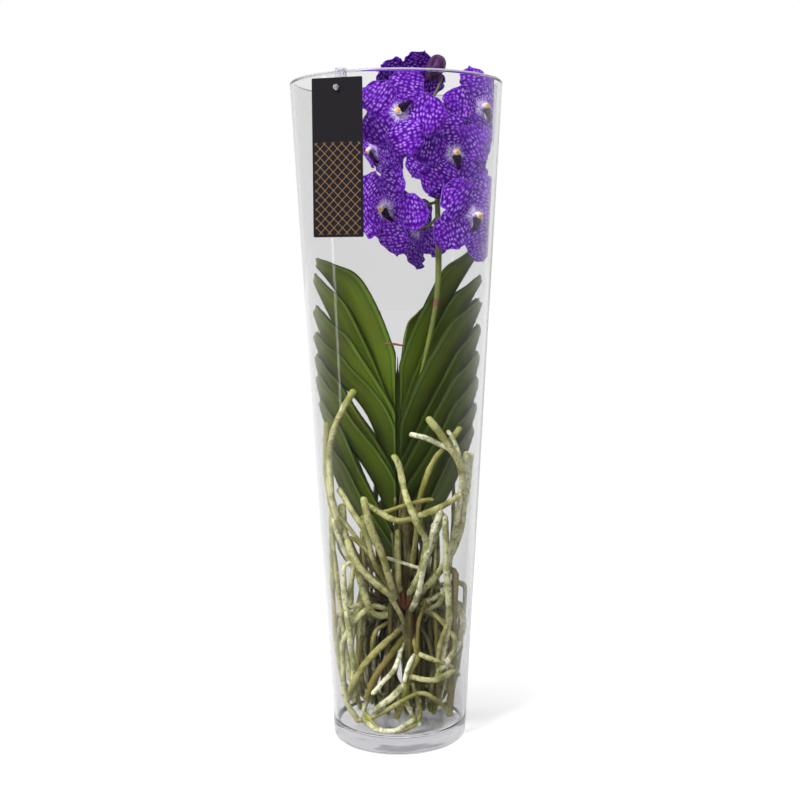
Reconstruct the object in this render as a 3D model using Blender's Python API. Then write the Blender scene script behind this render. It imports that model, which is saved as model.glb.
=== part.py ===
"""A vanda orchid with its roots and leaves, standing in a tall clear glass vase with a hang tag.

Metres, +Z up. The origin is the centre of the vase's foot, on the surface that it stands on.
The front of the plant, where most blooms face, is towards -Y.
"""

import math
import random
from collections import namedtuple

import bmesh
import bpy
from mathutils import Vector

MM = 0.001
GAP = 0.3 * MM                     # clearance between pieces that touch
UP = Vector((0, 0, 1))
CREASE_ANGLE = math.radians(45)    # faces that meet at more than this keep a sharp edge

# Vase: an open cone, wide at the rim
VASE_HEIGHT = 700 * MM
VASE_FOOT_RADIUS = 71.5 * MM
VASE_RIM_RADIUS = 110.5 * MM
VASE_WALL = 4.0 * MM
VASE_FLOOR = 18.0 * MM
VASE_FOOT_ROUND = 7.0 * MM
VASE_SIDES = 40

# Hang tag on the outside of the vase, and the clear clip that holds it on the rim
TAG_SIZE = (52 * MM, 0.8 * MM, 153 * MM)
TAG_CENTRE = (-57 * MM, -101.6 * MM, 615.5 * MM)
TAG_TURN = math.radians(-18)
TAG_HOLE_RADIUS = 2.5 * MM
TAG_HOLE_DROP = 9.5 * MM           # from the card's top edge to the hole
CLIP_WIDTH = 9 * MM
CLIP_THICKNESS = 1.4 * MM
CLIP_INNER_LEG = 14 * MM
CLIP_OUTER_LEG = 10 * MM
CLIP_BEAD_RADIUS = 2.9 * MM
CLIP_PEG_RADIUS = 1.3 * MM
CLIP_PEG_LENGTH = 2.8 * MM         # from the card's middle back into the clip's leg
CLIP_CARD_GAP = 3.2 * MM           # from the card's middle to the leg's back face
CLIP_LEG_DROP = 2.5 * MM           # how far the leg reaches below the tag's hole

# Stem and leaves
STEM_RADIUS = 5 * MM
STEM_BOTTOM = 178 * MM
STEM_TAPER = 330 * MM              # the stem narrows from here to its top
STEM_TOP = 358 * MM
STEM_TOP_RADIUS = 2.6 * MM
STEM_TIP = 414 * MM                # the rolled youngest leaf that ends the stem
STEM_TIP_RADIUS = 1.5 * MM
LEAF_THICKNESS = 1.4 * MM
LEAF_SEAT = 0.8 * MM               # from the stem to the middle of a leaf's blade at its base
LEAF_TIP_FOLD = 56                 # half of the angle between a leaf's halves, in degrees
LEAF_NOTCH = 4 * MM                # depth of the bite in a leaf's tip
LEAF_ROWS = (0, 0.1, 0.22, 0.35, 0.48, 0.6, 0.72, 0.84, 0.93, 1.0)
LEAF_COLUMNS = (-1, -0.5, 0, 0.5, 1)
SEAM_GAP = 0.4 * MM                # from the plane between the two ranks to a leaf's edge

# A leaf's keel runs in the XZ plane through four points given as (reach from the stem, height)
Leaf = namedtuple("Leaf", "base low high tip half_width fold")
LEFT_LEAVES = (
    Leaf(335, (29, 394), (53, 456), (88, 508), 30, 30),
    Leaf(316, (37, 385), (63, 440), (91, 499), 28, 31),
    Leaf(296, (34, 362), (63, 404), (91, 466), 28, 32),
    Leaf(270, (34, 354), (64, 389), (91, 439), 27, 33),
    Leaf(252, (39, 310), (68, 355), (90, 417), 27, 35),
    Leaf(236, (40, 301), (70, 343), (89, 396), 26, 37),
    Leaf(198, (38, 246), (64, 303), (86, 368), 26, 38),
    Leaf(183, (35, 222), (60, 266), (82, 330), 25, 40),
)
RIGHT_LEAVES = (
    Leaf(347, (14, 397), (19, 434), (28, 463), 13, 28),
    Leaf(327, (27, 408), (54, 470), (88, 526), 26, 30),
    Leaf(309, (35, 391), (62, 446), (92, 497), 26, 31),
    Leaf(291, (39, 366), (67, 419), (92, 473), 34, 38),
    Leaf(272, (43, 341), (70, 391), (91, 446), 30, 39),
    Leaf(253, (42, 315), (70, 361), (90, 418), 29, 40),
    Leaf(234, (40, 289), (67, 333), (89, 391), 28, 41),
    Leaf(214, (38, 262), (64, 305), (87, 363), 27, 41),
    Leaf(195, (36, 234), (61, 278), (84, 338), 26, 42),
)

# Flower spike: the route of its main axis, from the leaf axil to the top
SPIKE_ROUTE = (
    (16.4, -8.8, 358), (20, -11.1, 373), (22.6, -13.2, 385), (25.5, -15.4, 398),
    (31, -18.6, 424), (37, -20, 452), (41, -19.5, 476), (43, -17.5, 500), (43.5, -12, 530),
    (43, -4, 568), (42, 2, 610), (39.5, 2, 651), (36.5, 0, 684),
)
SPIKE_RADII = (1.7, 1.9, 2.3, 2.6, 2.9, 3.3, 3.0, 2.8, 2.5, 2.1, 1.7)
SPIKE_SIDES = 6
PEDICEL_SIDES = 4
PEDICEL_RADIUS = 1.5 * MM
PEDICEL_SPREAD = 0.35              # share by which a flower's stalk widens towards its bloom
PEDICEL_SAG = 3 * MM
PEDICEL_STRAIGHT = 12 * MM         # its last stretch is straight, behind the bloom's centre
SPIKE_SPACING = 22 * MM
PEDICEL_SPACING = 18 * MM
BUD_BASE = (39.5, 0, 699)
BUD_TIP = (44, -2, 727)
BUD_RADIUS = 8.0 * MM
STUB_ENDS = ((-13.6, -16.8, 429.5), (6.5, -17.5, 427))
STUB_RADIUS = 1.2 * MM

# Blooms: centre, direction that the bloom faces, turn of the upper sepal as seen from the
# front (90 is straight up), height on the spike where the flower's stalk leaves it, size
Bloom = namedtuple("Bloom", "centre facing turn stalk size")
BLOOMS = (
    Bloom((3, -66, 663), (-0.12, -0.98, 0.12), 215, 655, 0.93),
    Bloom((91, 2, 674), (0.50, -0.85, 0.15), 104, 664, 0.98),
    Bloom((59, -33, 624), (0.30, -0.95, 0.08), 98, 612, 0.96),
    Bloom((-11, -42, 569), (-0.62, -0.77, -0.15), 143, 577, 0.98),
    Bloom((79, -38, 561), (0.50, -0.86, -0.05), 67, 556, 0.98),
    Bloom((-24, 4, 633), (-0.80, -0.35, -0.45), 150, 628, 0.9),
    Bloom((11, 34, 703), (-0.35, 0.70, 0.55), 80, 680, 0.9),
    Bloom((44, 66, 645), (0.30, 0.95, 0.05), 95, 668, 0.9),
    Bloom((20, 46, 549), (-0.75, 0.62, -0.15), 125, 562, 0.9),
)
# Parts of a bloom: angle from the upper sepal, length, width, place in front or behind
Tepal = namedtuple("Tepal", "angle length width layer")
TEPALS = (
    Tepal(0, 44, 38, 0),
    Tepal(70, 45, 41, 1),
    Tepal(-70, 45, 41, 1),
    Tepal(140, 48, 43, -1),
    Tepal(-140, 48, 43, -1),
)
TEPAL_THICKNESS = 0.9 * MM
TEPAL_CLAW = 3.5 * MM              # from the bloom's centre to where a tepal starts
TEPAL_LAYER = 2.0 * MM
TEPAL_REFLEX = 5.0 * MM
TEPAL_WAVE = 1.1 * MM
TEPAL_BULGE = 2.0 * MM
TEPAL_DROOP = 1.6 * MM             # how far a tepal's edges fall back from its midline
TEPAL_ROWS = (0, 0.28, 0.58, 0.86, 1.0)
TEPAL_COLUMNS = (-1, -0.35, 0.35, 1)
HUB_RADIUS = 5 * MM
HUB_DEPTH = 3 * MM
# The column and the lip before the bloom's centre, as (across, up, out) in millimetres
COLUMN_ROUTE = ((0, 0.6, 3.5), (0, 0.8, 7.5), (0, 0.2, 9.4))
COLUMN_RADII = (2.2, 2.6, 1.6)
LIP_ROUTE = ((0, 1.0, 5.2), (0, -5, 6.4), (0, -11, 6.6), (0, -17, 4.4))
LIP_RADII = (1.0, 2.7, 3.3, 2.4)
LIP_WIDENING = 1.5
GLASS_MARGIN = 0.8 * MM            # from the glass to the middle of a blade pressed against it

# Roots, in millimetres: radius, then the route from the crown to the tip
CROWN_ROUTE = ((0, 0, 177.5), (0, 0, 168), (4, -5, 148), (8, -11, 126), (10, -14, 112))
CROWN_RADII = (6.5, 9, 9.5, 8, 5)
FRONT_ROOTS = (
    (3.2, (0, -6, 165), (-28, -20, 176), (-50, -24, 198), (-67, -38, 262), (-70, -36, 290),
     (-70, -40, 320), (-62, -50, 352), (-46, -45, 381)),
    (2.6, (-28, -20, 176), (-58, -22, 205), (-68, -36, 253), (-74, -29, 290), (-75, -28, 313),
     (-74, -32, 346)),
    (2.4, (0, -8, 160), (-40, -20, 176), (-60, -40, 223), (-67, -36, 244), (-71, -31, 265)),
    (2.6, (0, -6, 165), (-45, -22, 205), (-66, -26, 232), (-70, -22, 198), (-70, -14, 153),
     (-67, -11, 98), (-59, -10, 51)),
    (4.0, (2, -8, 140), (-27, -32, 143), (-43, -32, 187), (-56, -30, 227), (-59, -27, 257)),
    (3.0, (2, -8, 150), (-24, -32, 195), (-34, -40, 231), (-48, -40, 255), (-61, -32, 276)),
    (3.8, (2, -10, 146), (-6, -34, 168), (-17, -52, 211), (-29, -60, 243), (-35, -62, 271)),
    (3.1, (-34, -60, 268), (-18, -60, 257), (1, -66, 250), (26, -66, 257), (50, -56, 266),
     (71, -31, 276)),
    (2.1, (-17, -59, 257), (6, -56, 264), (22, -54, 268), (34, -52, 269)),
    (3.3, (6, -12, 150), (20, -45, 185), (28, -64, 226), (21, -71, 242), (13, -70, 262),
     (6, -58, 281), (1, -52, 305), (-4, -50, 314)),
    (2.8, (54, -52, 322), (39, -54, 329), (27, -56, 335), (14, -56, 338)),
    (3.7, (6, -8, 145), (43, -32, 188), (64, -38, 235), (66, -38, 278), (63, -46, 307),
     (52, -54, 325), (42, -54, 340), (32, -54, 353)),
    (2.4, (66, -39, 280), (63, -45, 311), (58, -45, 328), (52, -44, 339)),
    (2.9, (4, -8, 160), (12, -24, 186), (19, -42, 234), (21, -48, 265), (30, -50, 296),
     (40, -48, 315), (50, -44, 325), (63, -38, 341)),
    (2.8, (6, -8, 140), (44, -27, 155), (56, -40, 224), (62, -44, 260), (65, -44, 288),
     (70, -38, 315)),
    (3.0, (6, -8, 142), (48, -30, 167), (51, -40, 206), (60, -40, 236), (69, -33, 262),
     (73, -29, 290), (75, -30, 312)),
    (3.0, (6, -10, 140), (14, -30, 148), (21, -50, 173), (26, -60, 202), (33, -62, 231),
     (42, -62, 258)),
    (3.4, (2, -8, 155), (0, -30, 172), (-1, -35, 201), (-1, -37, 232)),
    (3.4, (4, -10, 148), (-12, -46, 169), (-30, -54, 187), (-46, -55, 208), (-52, -52, 225)),
    (2.3, (-45, -54, 208), (-50, -46, 176), (-60, -35, 139), (-65, -22, 113)),
    (2.0, (-13, -40, 205), (-1, -37, 201), (10, -38, 197), (20, -38, 194)),
    (2.8, (4, -10, 135), (-30, -32, 150), (-56, -38, 120), (-59, -31, 88), (-57, -28, 49),
     (-45, -24, 23)),
    (2.5, (-45, -24, 23), (-30, -40, 31), (-9, -50, 46), (20, -54, 63), (39, -46, 52),
     (54, -28, 31)),
    (3.3, (8, -12, 125), (-11, -36, 116), (-35, -46, 94), (-49, -41, 67), (-53, -33, 51)),
    (3.6, (9, -14, 116), (-7, -36, 102), (-24, -46, 81), (-34, -46, 57)),
    (2.4, (9, -14, 118), (-4, -46, 89), (-16, -55, 77), (-27, -56, 64)),
    (2.3, (16, -40, 100), (10, -50, 93), (5, -54, 77)),
    (3.4, (6, -44, 70), (-9, -48, 56), (-25, -49, 44)),
    (3.5, (10, -14, 120), (19, -38, 101), (9, -46, 79), (5, -44, 56), (-3, -40, 33)),
    (2.6, (19, -38, 101), (37, -46, 96), (54, -34, 86), (63, -14, 70)),
    (3.0, (9, -46, 79), (31, -54, 77), (46, -45, 78), (58, -29, 81)),
    (2.6, (5, -43, 54), (14, -44, 34), (21, -46, 26)),
    (2.8, (9, -12, 124), (1, -32, 143), (-8, -32, 159)),
    (2.3, (4, -8, 135), (-22, -26, 125), (-28, -30, 113), (-28, -26, 95)),
    (2.3, (6, -8, 148), (28, -22, 154), (21, -34, 136), (19, -40, 116), (18, -40, 98)),
    (2.4, (6, -8, 140), (45, -24, 160), (63, -28, 147), (52, -42, 135), (43, -46, 116),
     (40, -40, 88)),
    (3.1, (6, -8, 140), (48, -14, 158), (67, -17, 137), (65, -18, 110), (54, -36, 98),
     (43, -40, 85)),
)
WALL_ROOTS = 15                    # roots that turn down along the glass
FLOOR_ROOTS = 5                    # roots that curl round on the vase's floor
ROOT_SIDES = 5
ROOT_SPACING = 34 * MM
LEAF_ZONE_HEIGHT = 188 * MM        # above this, roots stay in front of or behind the leaves
LEAF_ZONE_DEPTH = 29 * MM
ROOT_WALL_GAP = 0.7 * MM           # from a root to the glass
SEED = 22


def clear_scene():
    for item in list(bpy.data.objects):
        bpy.data.objects.remove(item, do_unlink=True)


def make_material(name, colour, roughness, metallic=0.0, transmission=0.0):
    material = bpy.data.materials.new(name)
    material.use_nodes = True
    shader = material.node_tree.nodes["Principled BSDF"]
    shader.inputs["Base Color"].default_value = (*colour, 1.0)
    shader.inputs["Roughness"].default_value = roughness
    shader.inputs["Metallic"].default_value = metallic
    shader.inputs["Transmission Weight"].default_value = transmission
    return material


def add_object(name, verts, faces, material):
    """Make an object from world coordinates, with its faces turned outwards."""
    mesh = bpy.data.meshes.new(name)
    mesh.from_pydata([tuple(vert) for vert in verts], [], faces)
    work = bmesh.new()
    work.from_mesh(mesh)
    bmesh.ops.recalc_face_normals(work, faces=work.faces)
    work.to_mesh(mesh)
    work.free()
    mesh.shade_smooth()
    mesh.set_sharp_from_angle(angle=CREASE_ANGLE)
    mesh.materials.append(material)
    item = bpy.data.objects.new(name, mesh)
    bpy.context.collection.objects.link(item)
    return item


def fuse(name, pieces):
    """Join overlapping solids into one body with a Boolean union."""
    whole = pieces[0]
    rest = bpy.data.collections.new(name + "_pieces")
    bpy.context.scene.collection.children.link(rest)
    for piece in pieces[1:]:
        bpy.context.collection.objects.unlink(piece)
        rest.objects.link(piece)
    union = whole.modifiers.new("union", "BOOLEAN")
    union.operation = "UNION"
    union.operand_type = "COLLECTION"
    union.collection = rest
    union.solver = "MANIFOLD"
    evaluated = whole.evaluated_get(bpy.context.evaluated_depsgraph_get())
    joined = bpy.data.meshes.new_from_object(evaluated)
    whole.modifiers.clear()
    whole.data = joined
    for piece in pieces[1:]:
        bpy.data.objects.remove(piece, do_unlink=True)
    bpy.data.collections.remove(rest)
    whole.name = name
    tidy(joined)
    return whole


def tidy(mesh):
    """Drop loose scraps that a union leaves, and split its faces into triangles."""
    work = bmesh.new()
    work.from_mesh(mesh)
    bodies = []
    left = set(work.verts)
    while left:
        reached = [left.pop()]
        for vert in reached:
            near = [edge.other_vert(vert) for edge in vert.link_edges]
            near = [other for other in near if other in left]
            left.difference_update(near)
            reached.extend(near)
        bodies.append(reached)
    bodies.sort(key=len)
    for scrap in bodies[:-1]:
        bmesh.ops.delete(work, geom=scrap, context="VERTS")
    on_edges = [vert for vert in work.verts if len(vert.link_edges) == 2]
    bmesh.ops.dissolve_verts(work, verts=on_edges)
    bmesh.ops.triangulate(work, faces=work.faces)
    work.to_mesh(mesh)
    work.free()
    mesh.shade_smooth()
    mesh.set_sharp_from_angle(angle=CREASE_ANGLE)


def in_metres(point):
    return Vector(point) * MM


def smoothstep(low, high, value):
    share = min(max((value - low) / (high - low), 0.0), 1.0)
    return share * share * (3 - 2 * share)


def cubic_through(points, share):
    """A cubic curve through four points, which it meets at 0, 1/3, 2/3 and 1."""
    first, second, third, last = points
    handle_a = (-5 * first + 18 * second - 9 * third + 2 * last) / 6
    handle_b = (2 * first - 9 * second + 18 * third - 5 * last) / 6
    rest = 1 - share
    return (first * rest**3 + handle_a * 3 * rest**2 * share
            + handle_b * 3 * rest * share**2 + last * share**3)


def glass_inner_radius(height):
    slope = (VASE_RIM_RADIUS - VASE_FOOT_RADIUS) / VASE_HEIGHT
    return VASE_FOOT_RADIUS + slope * height - VASE_WALL


def inside_glass(point, margin, centre_angle=None):
    """Bend a point that would pass through the glass along the wall's inner side."""
    limit = glass_inner_radius(point.z) - margin
    radius = math.hypot(point.x, point.y)
    if radius <= limit or point.z > VASE_HEIGHT + 5 * MM:
        return point
    angle = math.atan2(point.y, point.x)
    if centre_angle is not None:
        away = math.sin(angle - centre_angle)
        angle += math.copysign(0.45 * (radius - limit) / limit, away)
    return Vector((limit * math.cos(angle), limit * math.sin(angle), point.z))


def shell(grid, thickness):
    """A closed blade round a grid of points, split into triangles alike on both faces."""
    rows, columns = len(grid), len(grid[0])
    front, back = [], []
    for i in range(rows):
        for j in range(columns):
            along = grid[min(i + 1, rows - 1)][j] - grid[max(i - 1, 0)][j]
            normals = []
            if j > 0:
                normals.append(along.cross(grid[i][j] - grid[i][j - 1]).normalized())
            if j < columns - 1:
                normals.append(along.cross(grid[i][j + 1] - grid[i][j]).normalized())
            total = sum(normals, Vector())
            offset = total * (thickness / 2 / max(total.dot(normals[0]), 0.35 * total.length))
            front.append(grid[i][j] + offset)
            back.append(grid[i][j] - offset)
    faces = []
    size = rows * columns
    for i in range(rows - 1):
        for j in range(columns - 1):
            a, b = i * columns + j, i * columns + j + 1
            c, d = a + columns, b + columns
            if j < (columns - 1) / 2:
                split = ((a, b, d), (a, d, c))
            else:
                split = ((a, b, c), (b, d, c))
            for face in split:
                faces.append(face)
                faces.append(tuple(size + k for k in reversed(face)))
    edge = list(range(columns))
    edge += [i * columns + columns - 1 for i in range(1, rows)]
    edge += [(rows - 1) * columns + j for j in range(columns - 2, -1, -1)]
    edge += [i * columns for i in range(rows - 2, 0, -1)]
    for a, b in zip(edge, edge[1:] + edge[:1]):
        faces.append((b, a, size + a))
        faces.append((b, size + a, size + b))
    return front + back, faces


def smooth_route(route, spacing):
    """Points at an even spacing on a smooth curve through a route's own points."""
    points = [in_metres(point) for point in route]
    padded = [2 * points[0] - points[1]] + points + [2 * points[-1] - points[-2]]
    curve = []
    steps = 8
    for a, b, c, d in zip(padded, padded[1:], padded[2:], padded[3:]):
        for step in range(steps):
            t = step / steps
            curve.append(0.5 * (2 * b + (c - a) * t + (2 * a - 5 * b + 4 * c - d) * t**2
                                + (3 * b - a - 3 * c + d) * t**3))
    curve.append(points[-1])
    lengths = [0.0]
    for a, b in zip(curve, curve[1:]):
        lengths.append(lengths[-1] + (b - a).length)
    count = max(2, round(lengths[-1] / spacing))
    result = []
    k = 0
    for step in range(count + 1):
        target = lengths[-1] * step / count
        while k < len(lengths) - 2 and lengths[k + 1] < target:
            k += 1
        share = (target - lengths[k]) / (lengths[k + 1] - lengths[k])
        result.append(curve[k].lerp(curve[k + 1], share))
    return result


def tube(points, radii, sides, turn=0.0):
    """A closed tube along points, with a radius at each of them."""
    verts, faces = [], []
    across = None
    for k, point in enumerate(points):
        along = (points[min(k + 1, len(points) - 1)] - points[max(k - 1, 0)]).normalized()
        if across is None:
            across = along.orthogonal().normalized()
        across = (across - along * across.dot(along)).normalized()
        other = along.cross(across)
        for side in range(sides):
            angle = turn + 2 * math.pi * side / sides
            verts.append(point + (across * math.cos(angle) + other * math.sin(angle)) * radii[k])
    for k in range(len(points) - 1):
        for side in range(sides):
            a, b = k * sides + side, k * sides + (side + 1) % sides
            faces.append((a, b, b + sides, a + sides))
    faces.append(tuple(reversed(range(sides))))
    faces.append(tuple((len(points) - 1) * sides + side for side in range(sides)))
    return verts, faces


def lathe(profile, sides):
    """A solid turned round the Z axis, from a profile whose ends lie on the axis."""
    verts = [Vector((0, 0, profile[0][1])), Vector((0, 0, profile[-1][1]))]
    faces = []
    rings = profile[1:-1]
    for radius, height in rings:
        for side in range(sides):
            angle = 2 * math.pi * side / sides
            verts.append(Vector((radius * math.cos(angle), radius * math.sin(angle), height)))
    for side in range(sides):
        following = (side + 1) % sides
        faces.append((0, 2 + following, 2 + side))
        for k in range(len(rings) - 1):
            a, b = 2 + k * sides + side, 2 + k * sides + following
            faces.append((a, b, b + sides, a + sides))
        last = 2 + (len(rings) - 1) * sides
        faces.append((1, last + side, last + following))
    return verts, faces


def build_vase(glass):
    def outer(height):
        return glass_inner_radius(height) + VASE_WALL

    def inner(height):
        return glass_inner_radius(height) / math.cos(math.pi / VASE_SIDES)

    foot, lip = VASE_FOOT_ROUND, VASE_WALL / 2
    profile = [
        (0, 0),
        (outer(0) - foot, 0),
        (outer(0) - 0.3 * foot, 0.25 * foot),
        (outer(foot), foot),
        (outer(VASE_HEIGHT - lip), VASE_HEIGHT - lip),
        (outer(VASE_HEIGHT) - lip, VASE_HEIGHT),
        (inner(VASE_HEIGHT - lip), VASE_HEIGHT - lip),
        (inner(VASE_FLOOR + foot), VASE_FLOOR + foot),
        (inner(VASE_FLOOR) - 0.3 * foot, VASE_FLOOR + 0.25 * foot),
        (inner(VASE_FLOOR) - foot, VASE_FLOOR),
        (0, VASE_FLOOR),
    ]
    verts, faces = lathe(profile, VASE_SIDES)
    add_object("vase", verts, faces, glass)


def build_tag(card_black):
    """A card with a hole near its top edge, hanging outside the vase."""
    width, thickness, height = TAG_SIZE
    hole_centre = height / 2 - TAG_HOLE_DROP
    sides = 16
    ring = []
    for k in range(sides):
        angle = 2 * math.pi * k / sides
        ring.append((TAG_HOLE_RADIUS * math.cos(angle),
                     hole_centre + TAG_HOLE_RADIUS * math.sin(angle)))
    corners = [(width / 2, -height / 2), (width / 2, height / 2),
               (-width / 2, height / 2), (-width / 2, -height / 2)]
    centre = Vector(TAG_CENTRE)
    across = Vector((math.cos(TAG_TURN), math.sin(TAG_TURN), 0))
    through = Vector((-math.sin(TAG_TURN), math.cos(TAG_TURN), 0))
    verts = []
    for side in (-0.5, 0.5):
        for x, z in corners + ring:
            verts.append(centre + across * x + UP * z + through * side * thickness)
    size = len(corners) + sides
    # Each corner fans to the quarter of the hole's edge that faces it
    fans = ((0, 12), (1, 0), (2, 4), (3, 8))
    faces = []
    for corner, start in fans:
        for k in range(start, start + 4):
            a, b = 4 + k % sides, 4 + (k + 1) % sides
            faces.append((corner, b, a))
        following = (corner + 1) % 4
        faces.append((corner, following, 4 + (start + 4) % sides))
    for face in list(faces):
        faces.append(tuple(size + k for k in reversed(face)))
    for loop in (list(range(4)), [4 + k for k in range(sides)]):
        for a, b in zip(loop, loop[1:] + loop[:1]):
            faces.append((a, b, size + b, size + a))
    add_object("tag_card", verts, faces, card_black)


def tag_hole():
    height = TAG_CENTRE[2] + TAG_SIZE[2] / 2 - TAG_HOLE_DROP
    return Vector((TAG_CENTRE[0], TAG_CENTRE[1], height))


def build_clip(clear_plastic):
    """A strip bent over the rim, with a peg and bead through the tag's hole."""
    hole = tag_hole()
    outward = Vector((hole.x, hole.y, 0)).normalized()
    sideways = Vector((-outward.y, outward.x, 0))
    top = VASE_HEIGHT + GAP
    inner_top = glass_inner_radius(VASE_HEIGHT) - GAP
    inner_low = glass_inner_radius(VASE_HEIGHT - CLIP_INNER_LEG) - GAP
    outer_top = VASE_RIM_RADIUS + GAP
    reach = Vector((hole.x, hole.y, 0)).length - CLIP_CARD_GAP
    low = hole.z - CLIP_LEG_DROP
    thick = CLIP_THICKNESS
    profile = [
        (inner_low, VASE_HEIGHT - CLIP_INNER_LEG), (inner_top, top), (outer_top, top),
        (outer_top, VASE_HEIGHT - CLIP_OUTER_LEG), (reach, low), (reach + thick, low),
        (outer_top + thick, VASE_HEIGHT - CLIP_OUTER_LEG + thick), (outer_top + thick, top + thick),
        (inner_top - thick, top + thick), (inner_low - thick, VASE_HEIGHT - CLIP_INNER_LEG),
    ]
    verts = []
    for half in (-0.5, 0.5):
        for radius, height in profile:
            verts.append(outward * radius + UP * height + sideways * half * CLIP_WIDTH)
    count = len(profile)
    faces = [tuple(range(count)), tuple(count + k for k in reversed(range(count)))]
    for k in range(count):
        following = (k + 1) % count
        faces.append((following, k, count + k, count + following))
    hook = add_object("tag_clip", verts, faces, clear_plastic)
    forward = Vector((math.sin(TAG_TURN), -math.cos(TAG_TURN), 0))
    peg_start = hole - forward * CLIP_PEG_LENGTH
    bead = hole + forward * (CLIP_BEAD_RADIUS + TAG_SIZE[1] / 2 + GAP)
    peg_points = [peg_start, bead]
    peg_radii = (CLIP_PEG_RADIUS, CLIP_PEG_RADIUS)
    peg = add_object("peg", *tube(peg_points, peg_radii, 8), clear_plastic)
    bead_points = [bead + forward * CLIP_BEAD_RADIUS * k for k in (-0.95, -0.6, 0, 0.6, 0.95)]
    bead_radii = [CLIP_BEAD_RADIUS * share for share in (0.35, 0.8, 1.0, 0.8, 0.35)]
    head = add_object("bead", *tube(bead_points, bead_radii, 8), clear_plastic)
    fuse("tag_clip", [hook, peg, head])


def stem_radius(height):
    taper = max(height - STEM_TAPER, 0) / (STEM_TOP - STEM_TAPER)
    return STEM_RADIUS + (STEM_TOP_RADIUS - STEM_RADIUS) * taper


def leaf_keel(leaf, share):
    """The keel at the leaf's base lies where its two halves touch the stem."""
    clear = stem_radius(leaf.base * MM) + LEAF_SEAT
    base_reach = clear / math.sin(math.radians(leaf.fold))
    points = [Vector((base_reach, leaf.base * MM))]
    points += [in_metres(point) for point in (leaf.low, leaf.high, leaf.tip)]
    return cubic_through(points, share)


def leaf_surface(leaf, side, share, across):
    """The middle of a leaf's blade: share runs from base to tip, across from edge to edge."""
    keel = leaf_keel(leaf, share)
    step = 0.002
    tangent = (leaf_keel(leaf, share + step) - leaf_keel(leaf, share - step)).normalized()
    inward = Vector((-tangent.y, tangent.x))
    spread = smoothstep(0.75, 1.0, share)
    fold = math.radians(leaf.fold + (LEAF_TIP_FOLD - leaf.fold) * spread)
    width = leaf.half_width * MM * (1 - 0.45 * smoothstep(0.82, 1.0, share))
    room = (keel.x - SEAM_GAP) / abs(inward.x) - LEAF_THICKNESS
    rise = abs(across) * min(width * math.cos(fold), room)
    depth = rise * math.tan(fold)
    notch = (1.5 * across * across - 1.0) * LEAF_NOTCH * smoothstep(0.9, 1.0, share)
    flat = keel + inward * rise + tangent * notch
    point = Vector((side * flat.x, math.copysign(depth, across) if across else 0.0, flat.y))
    return inside_glass(point, GLASS_MARGIN + LEAF_THICKNESS / 2)


def build_leaves(leaf_green):
    for side, word, leaves in ((-1, "left", LEFT_LEAVES), (1, "right", RIGHT_LEAVES)):
        for number, leaf in enumerate(leaves, start=1):
            grid = []
            for share in LEAF_ROWS:
                grid.append([leaf_surface(leaf, side, share, across) for across in LEAF_COLUMNS])
            verts, faces = shell(grid, LEAF_THICKNESS)
            add_object(f"leaf_{word}_{number}", verts, faces, leaf_green)


def build_stem(stem_green):
    heights = (STEM_BOTTOM, STEM_TAPER, STEM_TOP)
    points = [UP * height for height in heights] + [UP * STEM_TIP]
    radii = [stem_radius(height) for height in heights] + [STEM_TIP_RADIUS]
    add_object("stem", *tube(points, radii, 12), stem_green)


def spike_point(height):
    """The point of the spike's axis at a height given in millimetres."""
    for low, high in zip(SPIKE_ROUTE, SPIKE_ROUTE[1:]):
        if low[2] <= height <= high[2]:
            return in_metres(low).lerp(in_metres(high), (height - low[2]) / (high[2] - low[2]))
    return in_metres(SPIKE_ROUTE[-1])


def bloom_axes(bloom):
    """The bloom's own axes: across, up along its upper sepal, and out of its face."""
    out = Vector(bloom.facing).normalized()
    turn = math.radians(bloom.turn)
    up = Vector((math.cos(turn), 0, math.sin(turn)))
    up = (up - out * up.dot(out)).normalized()
    return up.cross(out), up, out


def place_in_bloom(bloom, x, y, z):
    across, up, out = bloom_axes(bloom)
    return in_metres(bloom.centre) + (across * x + up * y + out * z) * bloom.size


def tepal_surface(bloom, tepal, waves, share, across):
    """The middle of a petal or sepal: share runs from claw to tip, across from edge to edge."""
    claw = 0.13 + 0.87 * smoothstep(0.02, 0.5, share)
    rounding = math.sqrt(max(1 - (max(share - 0.58, 0) / 0.46) ** 2, 0.0))
    half = tepal.width / 2 * MM * claw * rounding
    radius = TEPAL_CLAW + (tepal.length * MM - TEPAL_CLAW) * share
    angle = math.radians(tepal.angle)
    x = radius * math.sin(angle) + across * half * math.cos(angle)
    y = radius * math.cos(angle) - across * half * math.sin(angle)
    phase, turns = waves
    wave = TEPAL_WAVE * math.sin(phase + turns * share * math.pi * math.copysign(1, across))
    z = tepal.layer * TEPAL_LAYER * smoothstep(0.1, 0.5, share)
    z += TEPAL_BULGE * math.sin(math.pi * share) * smoothstep(0.0, 0.4, share)
    z -= TEPAL_REFLEX * share**2
    z += wave * across**2 * smoothstep(0.1, 0.6, share) - TEPAL_DROOP * across**2 * share
    point = place_in_bloom(bloom, x, y, z)
    hub_angle = math.atan2(bloom.centre[1], bloom.centre[0])
    return inside_glass(point, GLASS_MARGIN + TEPAL_THICKNESS / 2, hub_angle)


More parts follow.
